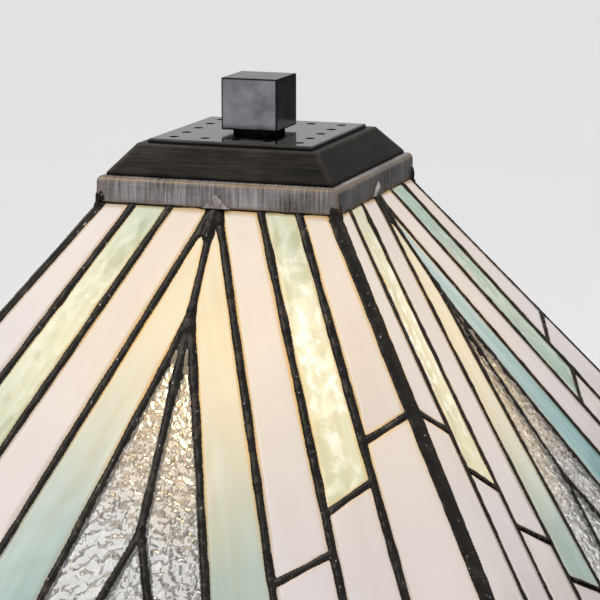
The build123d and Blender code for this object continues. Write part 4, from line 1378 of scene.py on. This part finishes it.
# ---------------------------------------------------------------- studio
@dataclass
class Studio:
    """A plain pale floor, soft lights and the camera."""

    floor_tone: Rgb = (0.74, 0.74, 0.745)
    floor_radius: float = 14.0
    horizon_tone: Rgb = (0.73, 0.73, 0.735)
    world_tone: Rgb = (1.0, 1.0, 1.0)
    world_strength: float = 1.04
    azimuth: float = 19.19  # degrees round from the front, as the lamp is looked at
    elevation: float = 11.99
    lens: float = 150.0
    distance: float = 1009.3 * MM
    aim_right: float = 16.4 * MM  # the middle of the view, from the underside of the top ring
    aim_up: float = -45.1 * MM

    def build(self) -> None:
        """Makes the floor, the lights and the camera."""
        self.build_floor()
        self.build_world()
        self.build_light("key_softbox", (-1.0, -0.7, 1.9), 1.0, 7.0, (1.0, 0.985, 0.96))
        self.build_light("top_softbox", (0.3, 0.9, 2.1), 1.4, 6.0, (0.97, 0.98, 1.0))
        self.build_light("side_softbox", (1.6, -1.5, 1.1), 0.6, 2.0, (1.0, 0.99, 0.97))
        self.build_flag()
        self.build_camera()

    def build_floor(self) -> None:
        """A wide round floor under the lamp's pads."""
        work = bmesh.new()
        bmesh.ops.create_circle(work, cap_ends=True, segments=96, radius=self.floor_radius)
        mesh = bpy.data.meshes.new("studio_floor")
        work.to_mesh(mesh)
        work.free()
        floor = linked("studio_floor", mesh)
        g = Graph("pale_floor")
        darker = tuple(0.99 * tone for tone in self.floor_tone)
        g.colour(g.ramp(g.noise(g.place(), 2.0), ((0.3, darker), (0.7, self.floor_tone))))
        g.set(Roughness=0.9)
        mesh.materials.append(g.material)

    def build_world(self) -> None:
        """Even pale light from all round."""
        world = bpy.data.worlds.new("studio_world")
        bpy.context.scene.world = world
        world.use_nodes = True
        nodes, links = world.node_tree.nodes, world.node_tree.links
        background = nodes["Background"]
        split = nodes.new("ShaderNodeSeparateXYZ")
        links.new(nodes.new("ShaderNodeTexCoord").outputs["Generated"], split.inputs["Vector"])
        ramp = nodes.new("ShaderNodeValToRGB")
        links.new(split.outputs["Z"], ramp.inputs["Fac"])
        links.new(ramp.outputs["Color"], background.inputs["Color"])
        for element, position, colour in zip(ramp.color_ramp.elements, (0.03, 0.5),
                                             (self.horizon_tone, self.world_tone)):
            element.position = position
            element.color = (*colour, 1)
        background.inputs["Strength"].default_value = self.world_strength

    def build_light(self, name: str, place: tuple[float, float, float], size: float, power: float,
                    tint: Rgb) -> None:
        """A square softbox that faces the shade.

        Args:
            name: Its name.
            place: Where it stands.
            size: The length of its side.
            power: Its power, in watts.
            tint: Its colour.
        """
        light = bpy.data.lights.new(name, "AREA")
        light.size = size
        light.energy = power
        light.color = tint
        holder = linked(name, light)
        aim = Vector((0, 0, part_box("top_ring")[0].z))
        holder.location = place
        holder.rotation_euler = (aim - Vector(place)).to_track_quat("-Z", "Y").to_euler()

    def build_flag(self) -> None:
        """A black card behind the lamp to its right, which only glossy surfaces see."""
        corners = [(0.35, 1.5, -0.2), (2.6, 0.4, -0.2), (2.6, 0.4, 0.62), (0.35, 1.5, 0.62)]
        card = new_piece("black_flag", np.array(corners), [(0, 1, 2, 3)], False)
        g = Graph("black_card")
        g.colour(g.ramp(g.noise(g.place(), 5.0), ((0.3, (0.05, 0.05, 0.05)), (0.7, (0.08, 0.08, 0.08)))))
        g.set(Roughness=0.9)
        card.data.materials.append(g.material)
        for name in ("camera", "diffuse", "transmission", "shadow", "volume_scatter"):
            setattr(card, f"visible_{name}", False)

    def build_camera(self) -> None:
        """The camera, level, looking down on the top of the shade."""
        az, el = math.radians(self.azimuth), math.radians(self.elevation)
        back = Vector((math.sin(az) * math.cos(el), -math.cos(az) * math.cos(el), math.sin(el)))
        right = Vector((0, 0, 1)).cross(back).normalized()
        up = back.cross(right)
        middle = Vector((0, 0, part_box("top_ring")[0].z))
        camera = bpy.data.cameras.new("camera")
        camera.lens = self.lens
        camera.sensor_width = 36.0
        camera.clip_end = 60.0
        holder = linked("camera", camera)
        place = middle + right * self.aim_right + up * self.aim_up + back * self.distance
        holder.matrix_world = Matrix.Translation(place) @ Matrix((right, up, back)).transposed().to_4x4()
        bpy.context.scene.camera = holder


# ---------------------------------------------------------------- the whole lamp
def shade_glass() -> dict[GlassKind, bpy.types.Material]:
    """The finish of each kind of glass in the shade."""
    return {
        GlassKind.WHITE: OpalescentGlass(
            "white_opalescent_glass", ((0.60, 0.51, 0.45), (0.63, 0.54, 0.475), (0.66, 0.57, 0.50)),
            ((0.56, 0.495, 0.475), (0.585, 0.52, 0.50), (0.61, 0.55, 0.53)),
            ((0.635, 0.50, 0.325), (0.685, 0.555, 0.375)), 0.95, 0.8, 60.0, 8.0, bulb_light_by_ring=0.7).make(),
        GlassKind.GREEN: OpalescentGlass(
            "green_opalescent_glass", ((0.50, 0.43, 0.20), (0.64, 0.555, 0.31), (0.76, 0.68, 0.44)),
            ((0.13, 0.26, 0.20), (0.25, 0.37, 0.27), (0.42, 0.48, 0.34)),
            ((0.66, 0.54, 0.27), (0.88, 0.78, 0.54)), 0.8, 0.5, 150.0, 9.0, 0.38, 0.1, gloss=0.7, streak=0.34,
            ripple=0.45 * MM, glint_share=0.75).make(),
        GlassKind.AQUA: OpalescentGlass(
            "aqua_opalescent_glass", ((0.58, 0.50, 0.34), (0.64, 0.555, 0.39), (0.69, 0.61, 0.45)),
            ((0.125, 0.275, 0.265), (0.215, 0.37, 0.36), (0.365, 0.475, 0.455)),
            ((0.70, 0.53, 0.29), (0.76, 0.62, 0.40)), 0.9, 0.75, 90.0, 7.0, streak=0.2).make(),
        GlassKind.CLEAR: HammeredGlass().make(),
    }


def node_finishes(solder: bpy.types.Material) -> dict[str, bpy.types.Material]:
    """The finish of every slot whose parts keep the frame's shape."""
    return {
        "rim": solder,
        "solder": solder,
        "cap": Metal("cap_plate_bronze", (0.035, 0.033, 0.031), (0.060, 0.056, 0.052), (0.07, 0.15), 1.0,
                     0.006 * MM, 300.0, glancing=0.75).make(),
        "finial": BlackNickelBlock(*map(tuple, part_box("finial"))).make(),
        "stand": Metal("cast_bronze", (0.036, 0.028, 0.020), (0.075, 0.058, 0.040), (0.32, 0.48), 0.95,
                       0.12 * MM, 700.0, 28.0, glancing=0.7).make(),
        "tube": Metal("zinc_plate", (0.40, 0.38, 0.33), (0.58, 0.56, 0.50), (0.25, 0.38)).make(),
        "hardware": Metal("turned_brass", (0.42, 0.30, 0.12), (0.66, 0.50, 0.24), (0.22, 0.36)).make(),
        "iron": Metal("rough_iron", (0.05, 0.05, 0.05), (0.12, 0.115, 0.11), (0.6, 0.8), 0.8,
                      0.3 * MM, 400.0).make(),
        "cover": Metal("black_painted_sheet", (0.020, 0.020, 0.020), (0.035, 0.034, 0.033), (0.45, 0.6), 0.0,
                       0.06 * MM, 800.0).make(),
        "screw": Metal("bright_zinc", (0.45, 0.45, 0.46), (0.65, 0.65, 0.66), (0.22, 0.34)).make(),
        "pad": Metal("black_rubber", (0.018, 0.018, 0.018), (0.032, 0.031, 0.030), (0.75, 0.9), 0.0,
                     0.1 * MM, 1100.0).make(),
        "socket": Metal("black_phenolic", (0.012, 0.010, 0.009), (0.022, 0.018, 0.016), (0.18, 0.30), 0.0,
                        0.02 * MM, 900.0, 60.0, 0.3).make(),
        "insulator": Metal("porcelain", (0.74, 0.72, 0.67), (0.84, 0.82, 0.78), (0.12, 0.2), 0.0,
                           0.02 * MM, 500.0, 60.0, 0.4).make(),
        "bulb_glass": OpalBulb().make(),
        "bulb_cap": Metal("rolled_aluminium", (0.62, 0.62, 0.63), (0.78, 0.78, 0.79), (0.24, 0.36)).make(),
    }


def main() -> None:
    """Builds the lamp's surfaces and the studio round it."""
    logging.basicConfig(level=logging.INFO, format="%(name)s: %(message)s")
    bpy.context.scene.view_settings.view_transform = "Standard"
    glass = shade_glass()
    solder = SolderPatina().make()
    panels = [Panel.read(side) for side in Side]
    for panel in panels:
        PanelGlass(panel, glass).build()
        SolderNet(panel, solder).build()
    CornerSolder(panels[0], solder).build()
    band = BrushedPatina("pewter_patina", (0.045, 0.036, 0.030), (0.25, 0.23, 0.225), (0.52, 0.50, 0.49),
                         (0.17, 0.11, 0.055), (0.30, 0.46), 0.14 * MM, 0.35)
    cap = BrushedPatina("dark_bronze_patina", (0.008, 0.0075, 0.006), (0.016, 0.0145, 0.012),
                        (0.034, 0.031, 0.026), (0.06, 0.052, 0.04), (0.26, 0.42), 0.10 * MM, 0.1, 0.55)
    scraped = Metal("scraped_solder", (0.10, 0.085, 0.075), (0.42, 0.38, 0.35), (0.28, 0.42), 1.0,
                    0.25 * MM, 420.0, 260.0)
    ShadeTop(band.make(), cap.make(), solder, scraped.make()).build()
    # Painted shade: the washer under the finial gets a near-black colour and little edge-on sheen, standing
    # in for the shade and dark reflections there.
    washer = Metal("shade_darkened_washer", (0.006, 0.006, 0.006), (0.013, 0.012, 0.011), (0.25, 0.4), 1.0,
                   0.02 * MM, 700.0, glancing=0.25)
    Dressing(node_finishes(solder), {"finial_washer": washer.make()}).build()
    Studio().build()


if __name__ == "__main__":
    main()
